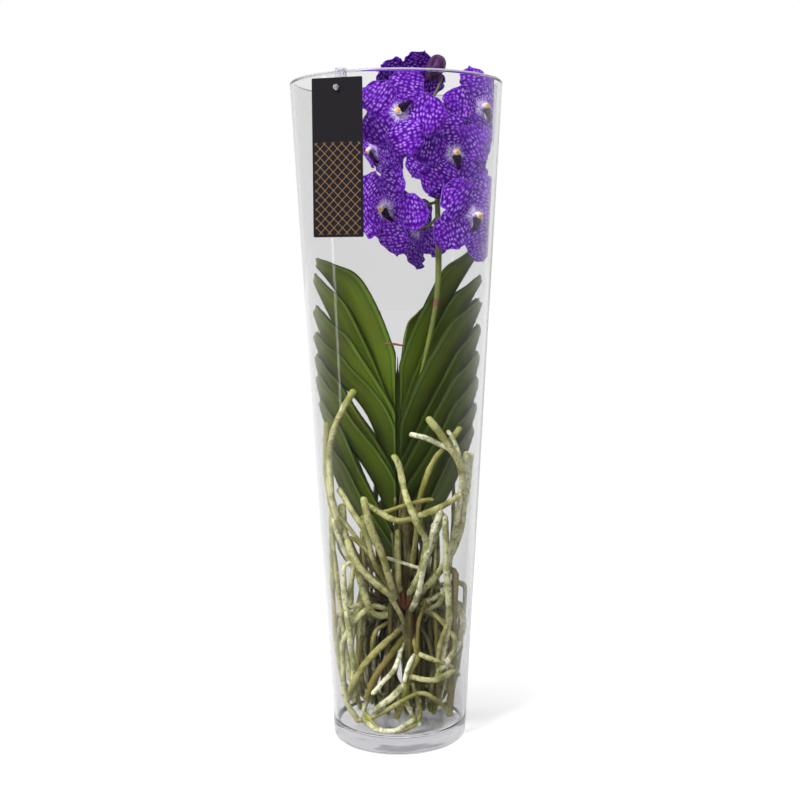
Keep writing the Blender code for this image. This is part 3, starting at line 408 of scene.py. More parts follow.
def tepal_surface(bloom, tepal, waves, habit, share, across):
    """The middle of a petal or sepal, with the fine frill of its edge."""
    claw = 0.2 + 0.8 * smoothstep(0.0, 0.44, share)
    rounding = math.sqrt(max(1 - (max(share - 0.58, 0) / 0.46) ** 2, 0.0))
    sense = math.copysign(1, across)
    outline = habit.breadth * (1 + 0.05 * math.sin(habit.phase + habit.turns * share * 5 * sense)
                               + 0.02 * math.sin(2 * habit.phase + share * 31 * sense))
    half = tepal.width / 2 * MM * claw * rounding * outline
    radius = TEPAL_CLAW + (tepal.length * MM - TEPAL_CLAW) * share
    radius += TEPAL_POINT * math.exp(-(across / 0.26) ** 2) * smoothstep(0.8, 1.0, share)
    angle = math.radians(tepal.angle)
    x = radius * math.sin(angle) + across * half * math.cos(angle)
    y = radius * math.cos(angle) - across * half * math.sin(angle)
    phase, turns = waves
    wave = TEPAL_WAVE * math.sin(phase + turns * share * math.pi * sense)
    z = tepal.layer * TEPAL_LAYER * smoothstep(0.1, 0.5, share)
    z += TEPAL_CUP * math.sin(math.pi * min(share, 1.0)) * smoothstep(0.0, 0.4, share)
    z -= TEPAL_REFLEX * share**2
    z += wave * across**2 * smoothstep(0.1, 0.6, share) - TEPAL_DROOP * across**2 * share
    z += (TEPAL_FRILL * math.sin(habit.phase + 2.6 * habit.turns * share * math.pi + 2 * across)
          * abs(across) ** 3 * smoothstep(0.2, 0.6, share))
    free = smoothstep(0.25, 0.85, share)
    z += habit.curl * across**2 * free + habit.twist * across * free
    z -= TEPAL_MIDLINE * math.exp(-(across / 0.07) ** 2) * smoothstep(0.05, 0.3, share)
    point = place_in_bloom(bloom, x, y, z)
    hub_angle = math.atan2(bloom.centre[1], bloom.centre[0])
    return inside_glass(point, GLASS_MARGIN + TEPAL_THICKNESS / 2, hub_angle)


def toward_glass(turn, height, share, gap):
    """A point at a share of the way from the axis to the glass, in front of or behind the fan."""
    distance = share * (glass_inner_radius(height * MM) / MM - gap)
    point = Vector((distance * math.cos(turn), distance * math.sin(turn), height)) * MM
    if point.z > LEAF_ZONE_HEIGHT and abs(point.y) < LEAF_ZONE_DEPTH:
        point.y = math.copysign(LEAF_ZONE_DEPTH, point.y)
    return point / MM


def wall_root_route(chance, number):
    """A root that leaves the crown for the glass and follows it down."""
    if number % 5 < 3:
        angle = math.radians(chance.uniform(-70, 75))
    else:
        angle = math.radians(chance.uniform(100, 250))
    radius = chance.uniform(2.2, 3.4)
    top = chance.uniform(120, 182)
    if abs(math.sin(angle)) > 0.5:
        top = chance.uniform(150, 300)
    foot = chance.uniform(24, 85)
    wobble = [angle + math.radians(chance.uniform(-9, 9)) for _ in range(5)]
    heights = (0.5 * (160 + top), top, top - 0.3 * (top - foot), top - 0.65 * (top - foot), foot)
    reach = (0.55, 1.0, 1.0, 0.97, chance.uniform(0.75, 0.95))
    route = [Vector((5, -6, chance.uniform(125, 165)))]
    route += [toward_glass(turn, height, share, radius + 2.5)
              for turn, height, share in zip(wobble, heights, reach)]
    return radius, route


def floor_root_route(chance, number):
    """A root that comes down and lies in a bow on the vase's floor."""
    angle = 2 * math.pi * number / FLOOR_ROOTS + chance.uniform(-0.3, 0.3)
    radius = chance.uniform(2.2, 3.2)
    sense = chance.choice((-1, 1))
    floor = VASE_FLOOR / MM + radius + 0.4
    route = [Vector((8, -10, 125)), Vector((25 * math.cos(angle), 25 * math.sin(angle), 75))]
    for k, distance in enumerate((46, 53, 54, 50)):
        turn = angle + sense * 0.42 * k
        height = floor + (14, 1, 0.0, chance.uniform(2, 22))[k]
        route.append(Vector((distance * math.cos(turn), distance * math.sin(turn), height)))
    return radius, route


def inside_vase(point, radius):
    """A root's point kept clear of the vase's wall and floor."""
    point = inside_glass(point, radius + ROOT_WALL_GAP)
    point.z = max(point.z, VASE_FLOOR + radius + ROOT_FLOOR_GAP)
    return point


def start_on_crown(route):
    """Move the start of a route that begins near the crown onto the crown's side."""
    first, following = route[0], route[1]
    for low, high in zip(CROWN_ROUTE[1:], CROWN_ROUTE):
        if low[2] <= first.z <= high[2]:
            middle = Vector(low).lerp(Vector(high), (first.z - low[2]) / (high[2] - low[2]))
            side = following - middle
            side.z = 0
            if (first - middle).length < CROWN_NEAR:
                route[0] = middle + side.normalized() * CROWN_SEAT
    return route


# Making meshes and materials

def linear(code):
    """An sRGB hex colour as linear red, green, blue and alpha."""
    channels = [int(code[k:k + 2], 16) / 255 for k in (1, 3, 5)]
    return (*[c / 12.92 if c <= 0.04045 else ((c + 0.055) / 1.055) ** 2.4 for c in channels], 1.0)


def add(tree, kind, settings=None, links=None):
    """A node with its settings, its input values and the outputs linked to its inputs."""
    node = tree.nodes.new(kind)
    for name, value in (settings or {}).items():
        setattr(node, name, value)
    for socket, value in (links or {}).items():
        if isinstance(value, bpy.types.NodeSocket):
            tree.links.new(value, node.inputs[socket])
        else:
            node.inputs[socket].default_value = value
    return node


def new_material(name, **values):
    """A Principled material with constants set on its sockets; returns it, its tree and shader."""
    material = bpy.data.materials.new(name)
    material.use_nodes = True
    tree = material.node_tree
    shader = tree.nodes["Principled BSDF"]
    for socket, value in values.items():
        shader.inputs[socket.replace("_", " ")].default_value = value
    return material, tree, shader


class Shape:
    """Points and faces of one piece, with a UV place and a tint for each point."""

    def __init__(self):
        self.points, self.faces, self.places, self.tints = [], [], [], []

    def add_blade(self, rows, columns, surface, thickness):
        """A closed blade, thick in the middle and thin at its edges, round a surface.

        The surface gives the point, place and tint at a share of its length, from 0 to 1,
        and of its width, from -1 to 1.
        """
        start = len(self.points)
        cells = [[surface(i / (rows - 1), 2 * j / (columns - 1) - 1) for j in range(columns)]
                 for i in range(rows)]
        grid = [[cell[0] for cell in row] for row in cells]
        offsets = []
        for i in range(rows):
            for j in range(columns):
                along = grid[min(i + 1, rows - 1)][j] - grid[max(i - 1, 0)][j]
                over = grid[i][min(j + 1, columns - 1)] - grid[i][max(j - 1, 0)]
                normal = along.cross(over).normalized()
                share = abs(2 * j / (columns - 1) - 1)
                offsets.append(normal * thickness / 2 * (1 - 0.45 * share**3))
        flat = [point for row in grid for point in row]
        for sign in (1, -1):
            self.points += [point + offset * sign for point, offset in zip(flat, offsets)]
            self.places += [cell[1] for row in cells for cell in row]
            self.tints += [cell[2] for row in cells for cell in row]
        size = rows * columns
        for i in range(rows - 1):
            for j in range(columns - 1):
                a = start + i * columns + j
                self.faces.append((a, a + 1, a + columns + 1, a + columns))
                self.faces.append((a + size, a + size + columns, a + size + columns + 1,
                                   a + size + 1))
        edge = list(range(columns))
        edge += [i * columns + columns - 1 for i in range(1, rows)]
        edge += [(rows - 1) * columns + j for j in range(columns - 2, -1, -1)]
        edge += [i * columns for i in range(rows - 2, 0, -1)]
        for a, b in zip(edge, edge[1:] + edge[:1]):
            self.faces.append((start + b, start + a, start + size + a, start + size + b))

    def add_lump(self, points, radii, sides, tints):
        """A closed round body along points, with a radius and a tint for each."""
        start = len(self.points)
        rows = len(points)
        across = None
        for k, point in enumerate(points):
            along = (points[min(k + 1, rows - 1)] - points[max(k - 1, 0)]).normalized()
            if across is None:
                across = along.orthogonal().normalized()
            across = (across - along * across.dot(along)).normalized()
            other = along.cross(across)
            for side in range(sides):
                angle = 2 * math.pi * side / sides
                spoke = (across * math.cos(angle) + other * math.sin(angle)) * radii[k]
                self.points.append(point + spoke)
                self.places.append((side / sides, k / (rows - 1)))
                self.tints.append(tints[k])
        self.close_rings(start, rows, sides)

    def close_rings(self, start, rows, sides):
        """Faces round rings of points that follow each other, and over the end rings."""
        for k in range(rows - 1):
            for side in range(sides):
                a, b = start + k * sides + side, start + k * sides + (side + 1) % sides
                self.faces.append((a, b, b + sides, a + sides))
        self.faces.append(tuple(start + side for side in reversed(range(sides))))
        self.faces.append(tuple(start + (rows - 1) * sides + side for side in range(sides)))

    def finish(self, name, material, slot, *replaced):
        """The finished piece, smooth and with its material, standing for its solids."""
        mesh = bpy.data.meshes.new(name)
        mesh.from_pydata([tuple(point) for point in self.points], [], self.faces)
        uv = mesh.uv_layers.new(name="place")
        corners = [0] * len(mesh.loops)
        mesh.loops.foreach_get("vertex_index", corners)
        flat = []
        for corner in corners:
            flat += self.places[corner]
        uv.data.foreach_set("uv", flat)
        tint = mesh.attributes.new("tint", "FLOAT", "POINT")
        tint.data.foreach_set("value", self.tints)
        mesh.shade_smooth()
        mesh.materials.append(material)
        return settle(name, mesh, slot, *replaced)


def settle(name, mesh, slot, *replaced):
    """An object for a mesh, which rides on the one body; the slot is not used."""
    piece = bpy.data.objects.new(name, mesh)
    bpy.context.scene.collection.objects.link(piece)
    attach(piece, "root")
    if replaced:
        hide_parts(*replaced)
    return piece


# Camera, floor and light

def set_camera():
    """The photograph's own view: a little above the middle of the vase, looking slightly down."""
    camera = bpy.data.cameras.new("camera")
    camera.lens = CAMERA_LENS
    camera.sensor_width = CAMERA_SENSOR
    view = bpy.data.objects.new("camera", camera)
    view.matrix_world = (Matrix.Translation(CAMERA_PLACE)
                         @ Matrix.Rotation(math.pi / 2 - CAMERA_PITCH, 4, "X")
                         @ Matrix.Rotation(-CAMERA_ROLL, 4, "Z"))
    bpy.context.scene.collection.objects.link(view)
    bpy.context.scene.camera = view


def set_floor():
    """A plain white floor, just under the foot of the vase."""
    mesh = bpy.data.meshes.new("floor")
    corners = ((-1, -1), (1, -1), (1, 1), (-1, 1))
    mesh.from_pydata([(FLOOR_REACH * x, FLOOR_REACH * y, -FLOOR_DROP) for x, y in corners],
                     [], [(0, 1, 2, 3)])
    material, tree, shader = new_material("matt_white_card", Roughness=0.9,
                                          Specular_IOR_Level=0.1,
                                          Emission_Color=linear("#ffffff"))
    # Seen through the glass the card is a step greyer, so the vase reads as glass to its foot
    path = add(tree, "ShaderNodeLightPath")
    near = add(tree, "ShaderNodeMix", {"data_type": "RGBA"}, {
        0: path.outputs["Is Transmission Ray"], 6: linear("#fafafa"), 7: linear("#d4d4d6")})
    # A step away from the vase it fades into the even white of the studio, with no horizon
    where = add(tree, "ShaderNodeTexCoord")
    away = add(tree, "ShaderNodeVectorMath", {"operation": "LENGTH"}, {0: where.outputs["Object"]})
    fade = add(tree, "ShaderNodeMapRange", {"interpolation_type": "SMOOTHSTEP"}, {
        "Value": away.outputs["Value"], "From Min": FLOOR_FADE[0], "From Max": FLOOR_FADE[1]})
    tone = add(tree, "ShaderNodeMix", {"data_type": "RGBA"}, {
        0: fade.outputs["Result"], 6: near.outputs[2], 7: linear("#000000")})
    tree.links.new(tone.outputs[2], shader.inputs["Base Color"])
    tree.links.new(fade.outputs["Result"], shader.inputs["Emission Strength"])
    material.cycles.emission_sampling = "NONE"
    mesh.materials.append(material)
    floor = bpy.data.objects.new("floor", mesh)
    bpy.context.scene.collection.objects.link(floor)


def set_light():
    """A white studio round the vase, a soft key lamp and a strip beside it."""
    world = bpy.data.worlds.new("white_studio")
    bpy.context.scene.world = world
    world.use_nodes = True
    tree = world.node_tree
    background = tree.nodes["Background"]
    background.inputs["Color"].default_value = linear("#ffffff")
    bpy.context.scene.view_settings.view_transform = "Standard"
    # For reflections the room is white overhead and behind the vase, and darker on the
    # camera's side; seen directly or through glass it is an even white all round
    direction = add(tree, "ShaderNodeTexCoord")
    split = add(tree, "ShaderNodeSeparateXYZ", links={"Vector": direction.outputs["Generated"]})
    level = add(tree, "ShaderNodeMapRange", {"interpolation_type": "SMOOTHSTEP"}, {
        "Value": split.outputs["Y"], "From Min": -0.5, "From Max": 0.85,
        "To Min": 0.45, "To Max": 0.8})
    overhead = add(tree, "ShaderNodeMapRange", {"interpolation_type": "SMOOTHSTEP"}, {
        "Value": split.outputs["Z"], "From Min": 0.3, "From Max": 0.95})
    strength = add(tree, "ShaderNodeMix", {"data_type": "FLOAT"}, {
        0: overhead.outputs["Result"], 2: level.outputs["Result"], 3: 1.35})
    path = add(tree, "ShaderNodeLightPath")
    seen = add(tree, "ShaderNodeMath", {"operation": "MAXIMUM"}, {
        0: path.outputs["Is Camera Ray"], 1: path.outputs["Is Transmission Ray"]})
    shown = add(tree, "ShaderNodeMix", {"data_type": "FLOAT"}, {
        0: seen.outputs[0], 2: strength.outputs[0], 3: 1.0})
    tree.links.new(shown.outputs[0], background.inputs["Strength"])
    # Name, place, width and height in metres, and power in watts
    panels = (
        ("key", (-1.3, -1.7, 2.1), (0.6, 0.6), 56),
        ("strip", (-1.8, -0.3, 0.6), (0.12, 1.5), 5),
    )
    for name, place, size, power in panels:
        lamp = bpy.data.lights.new(name, "AREA")
        lamp.shape = "RECTANGLE"
        lamp.size, lamp.size_y = size
        lamp.energy = power
        holder = bpy.data.objects.new(name, lamp)
        aim = Vector((0, 0, 0.4)) - Vector(place)
        holder.matrix_world = (Matrix.Translation(place)
                               @ aim.to_track_quat("-Z", "Y").to_matrix().to_4x4())
        bpy.context.scene.collection.objects.link(holder)


# Materials

def layer(tree, under, over, value, start, end, most=1.0, soft=True):
    """A hex colour laid over another colour, more of it as a value goes from start to end."""
    ease = "SMOOTHSTEP" if soft else "LINEAR"
    share = add(tree, "ShaderNodeMapRange", {"interpolation_type": ease}, {
        "Value": value, "From Min": start, "From Max": end, "To Max": most})
    mixed = add(tree, "ShaderNodeMix", {"data_type": "RGBA"}, {
        0: share.outputs["Result"], 6: under, 7: linear(over)})
    return mixed.outputs[2]


def dress(tree, shader, colour, height=None, strength=1.0, depth=0.0):
    """Give a shader its colour and, where the surface has a height, its fine relief."""
    tree.links.new(colour, shader.inputs["Base Color"])
    if height is not None:
        relief = add(tree, "ShaderNodeBump", links={
            "Height": height, "Strength": strength, "Distance": depth})
        tree.links.new(relief.outputs["Normal"], shader.inputs["Normal"])


def clear_glass():
    # Blown clear soda-lime glass, fire polished: sharp reflections, faintly violet where thick
    material, tree, shader = new_material(
        "blown_clear_glass", Roughness=0.0, IOR=1.47, Transmission_Weight=1.0,
        Specular_Tint=linear("#505056"), Base_Color=linear("#eaeaea"))
    body = add(tree, "ShaderNodeVolumeAbsorption", links={
        "Color": linear("#b4b0bc"), "Density": 4.5})
    tree.links.new(body.outputs["Volume"], tree.nodes["Material Output"].inputs["Volume"])
    # The thick foot is gently rippled where it cooled in the mould, in waves some 40 mm wide
    where = add(tree, "ShaderNodeTexCoord")
    flat = add(tree, "ShaderNodeMapping", links={
        "Vector": where.outputs["Object"], "Scale": (1.0, 1.0, 3.0)})
    ripple = add(tree, "ShaderNodeTexNoise", links={
        "Vector": flat.outputs["Vector"], "Scale": 1 / (38.5 * MM), "Detail": 1.0})
    split = add(tree, "ShaderNodeSeparateXYZ", links={"Vector": where.outputs["Object"]})
    low = add(tree, "ShaderNodeMapRange", {"interpolation_type": "SMOOTHSTEP"}, {
        "Value": split.outputs["Z"], "From Min": VASE_RIPPLE_TOP, "From Max": VASE_RIPPLE_FULL})
    relief = add(tree, "ShaderNodeBump", links={
        "Height": ripple.outputs["Fac"], "Strength": low.outputs["Result"],
        "Distance": 1.4 * MM})
    tree.links.new(relief.outputs["Normal"], shader.inputs["Normal"])
    return material


def polished_rim():
    # The glass rim, rounded in the flame: paler and a little milky, since light gathers in it,
    # in streaks some 33 mm long
    material, tree, shader = new_material("flame_polished_rim", Roughness=0.15, IOR=1.47,
                                          Transmission_Weight=0.5)
    where = add(tree, "ShaderNodeTexCoord")
    streak = add(tree, "ShaderNodeTexNoise", links={
        "Vector": where.outputs["Object"], "Scale": 1 / (33.3 * MM), "Detail": 2.0})
    tone = add(tree, "ShaderNodeMix", {"data_type": "RGBA"}, {
        0: streak.outputs["Fac"], 6: linear("#a9a6b2"), 7: linear("#d9d8e0")})
    dress(tree, shader, tone.outputs[2])
    return material


def clear_plastic():
    # Moulded clear polystyrene: glossy, with the slight haze of thin moulded plastic
    material, _, _ = new_material(
        "moulded_clear_plastic", Roughness=0.12, IOR=1.55, Transmission_Weight=0.85,
        Base_Color=linear("#eef0f5"))
    return material


def printed_card():
    # Matt black coated card with a plain lattice of thin lines printed in dull gold
    material, tree, shader = new_material("black_card_gold_print", Roughness=0.6,
                                          Specular_IOR_Level=0.08)
    place = add(tree, "ShaderNodeUVMap", {"uv_map": "place"})
    split = add(tree, "ShaderNodeSeparateXYZ", links={"Vector": place.outputs["UV"]})
    x, z = split.outputs["X"], split.outputs["Y"]
    # The card's own grain, drawn 1.1 mm coarse so that it shows
    grain = add(tree, "ShaderNodeTexNoise", links={
        "Vector": place.outputs["UV"], "Scale": 1 / (1.11 * MM)})
    ground = add(tree, "ShaderNodeMix", {"data_type": "RGBA"}, {
        0: grain.outputs["Fac"], 6: linear("#120f13"), 7: linear("#1d1a1f")})
    # Two sets of slanting lines, half a millimetre wide, cross in a lattice of diamonds
    lines = []
    for slant in ("ADD", "SUBTRACT"):
        across = add(tree, "ShaderNodeMath", {"operation": slant}, {0: x, 1: z})
        away = add(tree, "ShaderNodeMath", {"operation": "PINGPONG"}, {
            0: across.outputs[0], 1: TAG_LATTICE / 2})
        line = add(tree, "ShaderNodeMapRange", links={
            "Value": away.outputs[0], "From Min": 0.48 * MM, "From Max": 0.26 * MM})
        lines.append(line.outputs["Result"])
    lattice = add(tree, "ShaderNodeMath", {"operation": "MAXIMUM"}, {0: lines[0], 1: lines[1]})
    # The lattice fills one panel, the lower part of the card, and the rest is bare
    height = add(tree, "ShaderNodeMath", {"operation": "SUBTRACT"}, {0: z, 1: TAG_PANEL_CENTRE})
    ink = lattice
    for distance, limit in ((height.outputs[0], TAG_PANEL_HALF),
                            (x, TAG_SIZE[0] / 2 - TAG_PANEL_MARGIN)):
        reach = add(tree, "ShaderNodeMath", {"operation": "ABSOLUTE"}, {0: distance})
        inside = add(tree, "ShaderNodeMath", {"operation": "LESS_THAN"}, {
            0: reach.outputs[0], 1: limit})
        ink = add(tree, "ShaderNodeMath", {"operation": "MULTIPLY", "use_clamp": True}, {
            0: inside.outputs[0], 1: ink.outputs[0]})
    printed = add(tree, "ShaderNodeMix", {"data_type": "RGBA"}, {
        0: ink.outputs[0], 6: ground.outputs[2], 7: linear("#876a48")})
    dress(tree, shader, printed.outputs[2])
    return material


def waxy_leaf():
    # Living vanda leaf: thick, waxy and satin, with fine lengthwise veins and a thin margin,
    # painted near-black as shade on most leaves and pale beige on a few
    material, tree, shader = new_material("waxy_leaf", Roughness=0.42,
                                          Specular_IOR_Level=0.18)
    place = add(tree, "ShaderNodeUVMap", {"uv_map": "place"})
    split = add(tree, "ShaderNodeSeparateXYZ", links={"Vector": place.outputs["UV"]})
    along = split.outputs["Y"]
    tint = add(tree, "ShaderNodeAttribute", {"attribute_name": "tint"})
    where = add(tree, "ShaderNodeTexCoord")
    # Veins run the length of the blade, about 1 mm apart over its 30 mm half, streaks run
    # with them 6 mm wide, and dull clouds are about 30 mm wide
    stretch = add(tree, "ShaderNodeMapping", links={
        "Vector": place.outputs["UV"], "Scale": (30.0, 1.6, 1.0)})
    veins = add(tree, "ShaderNodeTexNoise", links={
        "Vector": stretch.outputs["Vector"], "Scale": 1.0, "Detail": 2.0})
    streaks = add(tree, "ShaderNodeTexNoise", links={
        "Vector": stretch.outputs["Vector"], "Scale": 0.16, "Detail": 2.0})
    cloud = add(tree, "ShaderNodeTexNoise", links={
        "Vector": where.outputs["Object"], "Scale": 1 / (29.4 * MM), "Detail": 3.0})
    green = add(tree, "ShaderNodeMix", {"data_type": "RGBA"}, {
        0: tint.outputs["Fac"], 6: linear("#383f0d"), 7: linear("#546e0e")})
    away = add(tree, "ShaderNodeMath", {"operation": "ABSOLUTE"}, {0: split.outputs["X"]})
    # Broad paler streaks, dark veins and dull clouds
    colour = layer(tree, green.outputs[2], "#5b6c11", streaks.outputs["Fac"], 0.4, 0.65, 0.8, False)
    colour = layer(tree, colour, "#22300b", veins.outputs["Fac"], 0.42, 0.7, 0.6, False)
    colour = layer(tree, colour, "#453f1a", cloud.outputs["Fac"], 0.5, 0.75, 0.5, False)
    # Painted shade: the blade darkens into the keel's crease, and the leaf's foot is dark where the
    # fan shades itself
    colour = layer(tree, colour, "#1e2a0a", away.outputs[0], 0.5, 0.0, 0.6)
    colour = layer(tree, colour, "#161d08", along, 0.4, 0.0, 0.6)
    # Its outer half turns duller and browner, in clouds
    old = add(tree, "ShaderNodeMapRange", {"interpolation_type": "SMOOTHSTEP"}, {
        "Value": along, "From Min": 0.5, "From Max": 1.0, "To Max": 0.7})
    browned = add(tree, "ShaderNodeMath", {"operation": "MULTIPLY"}, {
        0: old.outputs["Result"], 1: cloud.outputs["Fac"]})
    brown = add(tree, "ShaderNodeMix", {"data_type": "RGBA"}, {
        0: browned.outputs[0], 6: colour, 7: linear("#4a4220")})
    colour = brown.outputs[2]
    # Just inside the margin, where the blade turns up: a painted shadow line, and past it a strip
    # of painted light in a brighter green
    for low, high, most, shade in ((0.77, 0.84, 0.55, "#1b260a"), (0.86, 0.93, 0.6, "#56781a")):
        middle = add(tree, "ShaderNodeMath", {"operation": "SUBTRACT"}, {
            0: away.outputs[0], 1: (low + high) / 2})
        aside = add(tree, "ShaderNodeMath", {"operation": "ABSOLUTE"}, {0: middle.outputs[0]})
        colour = layer(tree, colour, shade, aside.outputs[0], high - low, 0.0, most)
    # The margin is painted near-black shade on most leaves, for the shadow between the leaves, and
    # pale beige on a few
    turns = add(tree, "ShaderNodeMath", {"operation": "MULTIPLY"}, {0: tint.outputs["Fac"], 1: 9.0})
    turned_back = add(tree, "ShaderNodeMath", {"operation": "PINGPONG"}, {
        0: turns.outputs[0], 1: 1.0})
    shaded_and_dry_rim = layer(tree, linear("#151b07"), "#8f8a55", turned_back.outputs[0], 0.7, 0.9)
    margin = add(tree, "ShaderNodeMapRange", {"interpolation_type": "SMOOTHSTEP"}, {
        "Value": away.outputs[0], "From Min": 0.95, "From Max": 0.985, "To Max": 0.9})
    edged = add(tree, "ShaderNodeMix", {"data_type": "RGBA"}, {
        0: margin.outputs["Result"], 6: colour, 7: shaded_and_dry_rim})
    dress(tree, shader, edged.outputs[2], veins.outputs["Fac"], 0.25, 0.3 * MM)
    return material


def petal_skin():
    # Vanda petal: violet velvet cells with a net of pale lilac spots, wider across than along
    material, tree, shader = new_material("tessellated_petal", Roughness=0.6,
                                          Specular_IOR_Level=0.1)
    place = add(tree, "ShaderNodeUVMap", {"uv_map": "place"})
    split = add(tree, "ShaderNodeSeparateXYZ", links={"Vector": place.outputs["UV"]})
    where = add(tree, "ShaderNodeTexCoord")
    # The tint attribute holds the distance from the midline
    tint = add(tree, "ShaderNodeAttribute", {"attribute_name": "tint"})
    # Spots lie about 6 mm apart across a petal and 3.4 mm apart along it
    warp = add(tree, "ShaderNodeTexNoise", links={
        "Vector": place.outputs["UV"], "Scale": 1 / (7.69 * MM), "Detail": 1.0})
    warp_scale = add(tree, "ShaderNodeVectorMath", {"operation": "SCALE"}, {
        0: warp.outputs["Color"], "Scale": 3.6 * MM})
    bent = add(tree, "ShaderNodeVectorMath", {"operation": "ADD"}, {
        0: place.outputs["UV"], 1: warp_scale.outputs["Vector"]})
    cells = add(tree, "ShaderNodeMapping", links={
        "Vector": bent.outputs["Vector"], "Scale": (1 / (6.0 * MM), 1 / (3.4 * MM), 1.0)})
    spots = add(tree, "ShaderNodeTexVoronoi", {"voronoi_dimensions": "2D"}, {
        "Vector": cells.outputs["Vector"], "Scale": 1.0, "Randomness": 0.55})
    # Deep violet between the spots and a brighter violet halo round each, both in clouds
    # about 25 mm wide
    depth = add(tree, "ShaderNodeTexNoise", links={
        "Vector": where.outputs["Object"], "Scale": 1 / (25 * MM), "Detail": 2.0})
    veins, round_spots = [
        add(tree, "ShaderNodeMix", {"data_type": "RGBA"}, {
            0: depth.outputs["Fac"], 6: linear(dark), 7: linear(light)})
        for dark, light in (("#2e0262", "#5006a0"), ("#5406a0", "#8418d2"))]
    halo = add(tree, "ShaderNodeMapRange", {"interpolation_type": "SMOOTHSTEP"}, {
        "Value": spots.outputs["Distance"], "From Min": 0.6, "From Max": 0.28})
    ground = add(tree, "ShaderNodeMix", {"data_type": "RGBA"}, {
        0: halo.outputs["Result"], 6: veins.outputs[2], 7: round_spots.outputs[2]})
    rimmed = layer(tree, ground.outputs[2], "#9a80dc", tint.outputs["Fac"], 0.955, 1.0, 0.5, False)
    # The spots themselves, fainter in places and at the margin
    core = add(tree, "ShaderNodeMapRange", {"interpolation_type": "SMOOTHSTEP"}, {
        "Value": spots.outputs["Distance"], "From Min": 0.4, "From Max": 0.06})
    cloud = add(tree, "ShaderNodeTexNoise", links={
        "Vector": where.outputs["Object"], "Scale": 1 / (13.33 * MM), "Detail": 2.0})
    strength = add(tree, "ShaderNodeMapRange", links={
        "Value": cloud.outputs["Fac"], "From Min": 0.36, "From Max": 0.66, "To Min": 0.2,
        "To Max": 0.85})
    margin = add(tree, "ShaderNodeMapRange", links={
        "Value": tint.outputs["Fac"], "From Min": 0.98, "From Max": 0.72, "To Min": 0.1})
    shown = core
    for share in (strength, margin):
        shown = add(tree, "ShaderNodeMath", {"operation": "MULTIPLY", "use_clamp": True}, {
            0: shown.outputs[0], 1: share.outputs["Result"]})
    patterned = add(tree, "ShaderNodeMix", {"data_type": "RGBA"}, {
        0: shown.outputs[0], 6: rimmed, 7: linear("#d2b0f8")})
    # Round the column the ground turns to white in rays, about 8 mm apart
    ray_coords = add(tree, "ShaderNodeMapping", links={
        "Vector": place.outputs["UV"], "Scale": (1.0, 0.2, 1.0)})
    rays = add(tree, "ShaderNodeTexNoise", links={
        "Vector": ray_coords.outputs["Vector"], "Scale": 1 / (8.33 * MM), "Detail": 1.0})
    near = add(tree, "ShaderNodeMapRange", {"interpolation_type": "SMOOTHSTEP"}, {
        "Value": split.outputs["Y"], "From Min": 12.0 * MM, "From Max": 4.5 * MM})
    ray_share = add(tree, "ShaderNodeMapRange", links={
        "Value": rays.outputs["Fac"], "From Min": 0.4, "From Max": 0.6, "To Min": 0.25})
    star = add(tree, "ShaderNodeMath", {"operation": "MULTIPLY", "use_clamp": True}, {
        0: near.outputs["Result"], 1: ray_share.outputs["Result"]})
    starred = add(tree, "ShaderNodeMix", {"data_type": "RGBA"}, {
        0: star.outputs[0], 6: patterned.outputs[2], 7: linear("#efe6ff")})
    dress(tree, shader, starred.outputs[2], spots.outputs["Distance"], 0.6, 0.6 * MM)
    return material


def lip_skin():
    # Lip and column: near-black violet lip with a reddish throat, and a white waxy column
    # with a yellow-orange cap; the tint attribute runs from the lip, 0, to the cap, 2, and
    # the lip is mottled in spots 3.3 mm wide
    material, tree, shader = new_material("lip_and_column", Roughness=0.5,
                                          Specular_IOR_Level=0.12)
    tint = add(tree, "ShaderNodeAttribute", {"attribute_name": "tint"})
    where = add(tree, "ShaderNodeTexCoord")
    mottle = add(tree, "ShaderNodeTexNoise", links={
        "Vector": where.outputs["Object"], "Scale": 1 / (3.33 * MM), "Detail": 2.0})
    dark = add(tree, "ShaderNodeMix", {"data_type": "RGBA"}, {
        0: mottle.outputs["Fac"], 6: linear("#0b0314"), 7: linear("#21083a")})
    colour = dark.outputs[2]
    for shade, start, end, soft in (
            ("#7a2a4c", 0.1, 0.4, True), ("#efe2fa", 0.45, 0.9, True),
            ("#f0d394", 1.1, 1.5, False), ("#e39a3a", 1.6, 2.0, False)):
        colour = layer(tree, colour, shade, tint.outputs["Fac"], start, end, soft=soft)
    dress(tree, shader, colour)
    return material


def bud_skin():
    # Closed bud: dark plum petals, satin, with paler violet streaks 2.4 mm wide along them
    material, tree, shader = new_material("bud_petals", Roughness=0.5,
                                          Specular_IOR_Level=0.2)
    where = add(tree, "ShaderNodeTexCoord")
    stretch = add(tree, "ShaderNodeMapping", links={
        "Vector": where.outputs["Object"], "Scale": (1.0, 1.0, 0.25)})
    grain = add(tree, "ShaderNodeTexNoise", links={
        "Vector": stretch.outputs["Vector"], "Scale": 1 / (2.38 * MM), "Detail": 3.0})
    cloud = add(tree, "ShaderNodeTexNoise", links={
        "Vector": where.outputs["Object"], "Scale": 1 / (8.33 * MM), "Detail": 2.0})
    base = add(tree, "ShaderNodeMix", {"data_type": "RGBA"}, {
        0: cloud.outputs["Fac"], 6: linear("#200a2a"), 7: linear("#4e2458")})
    dress(tree, shader, layer(tree, base.outputs[2], "#7a4a86", grain.outputs["Fac"],
                              0.5, 0.75, 0.6, False))
    return material


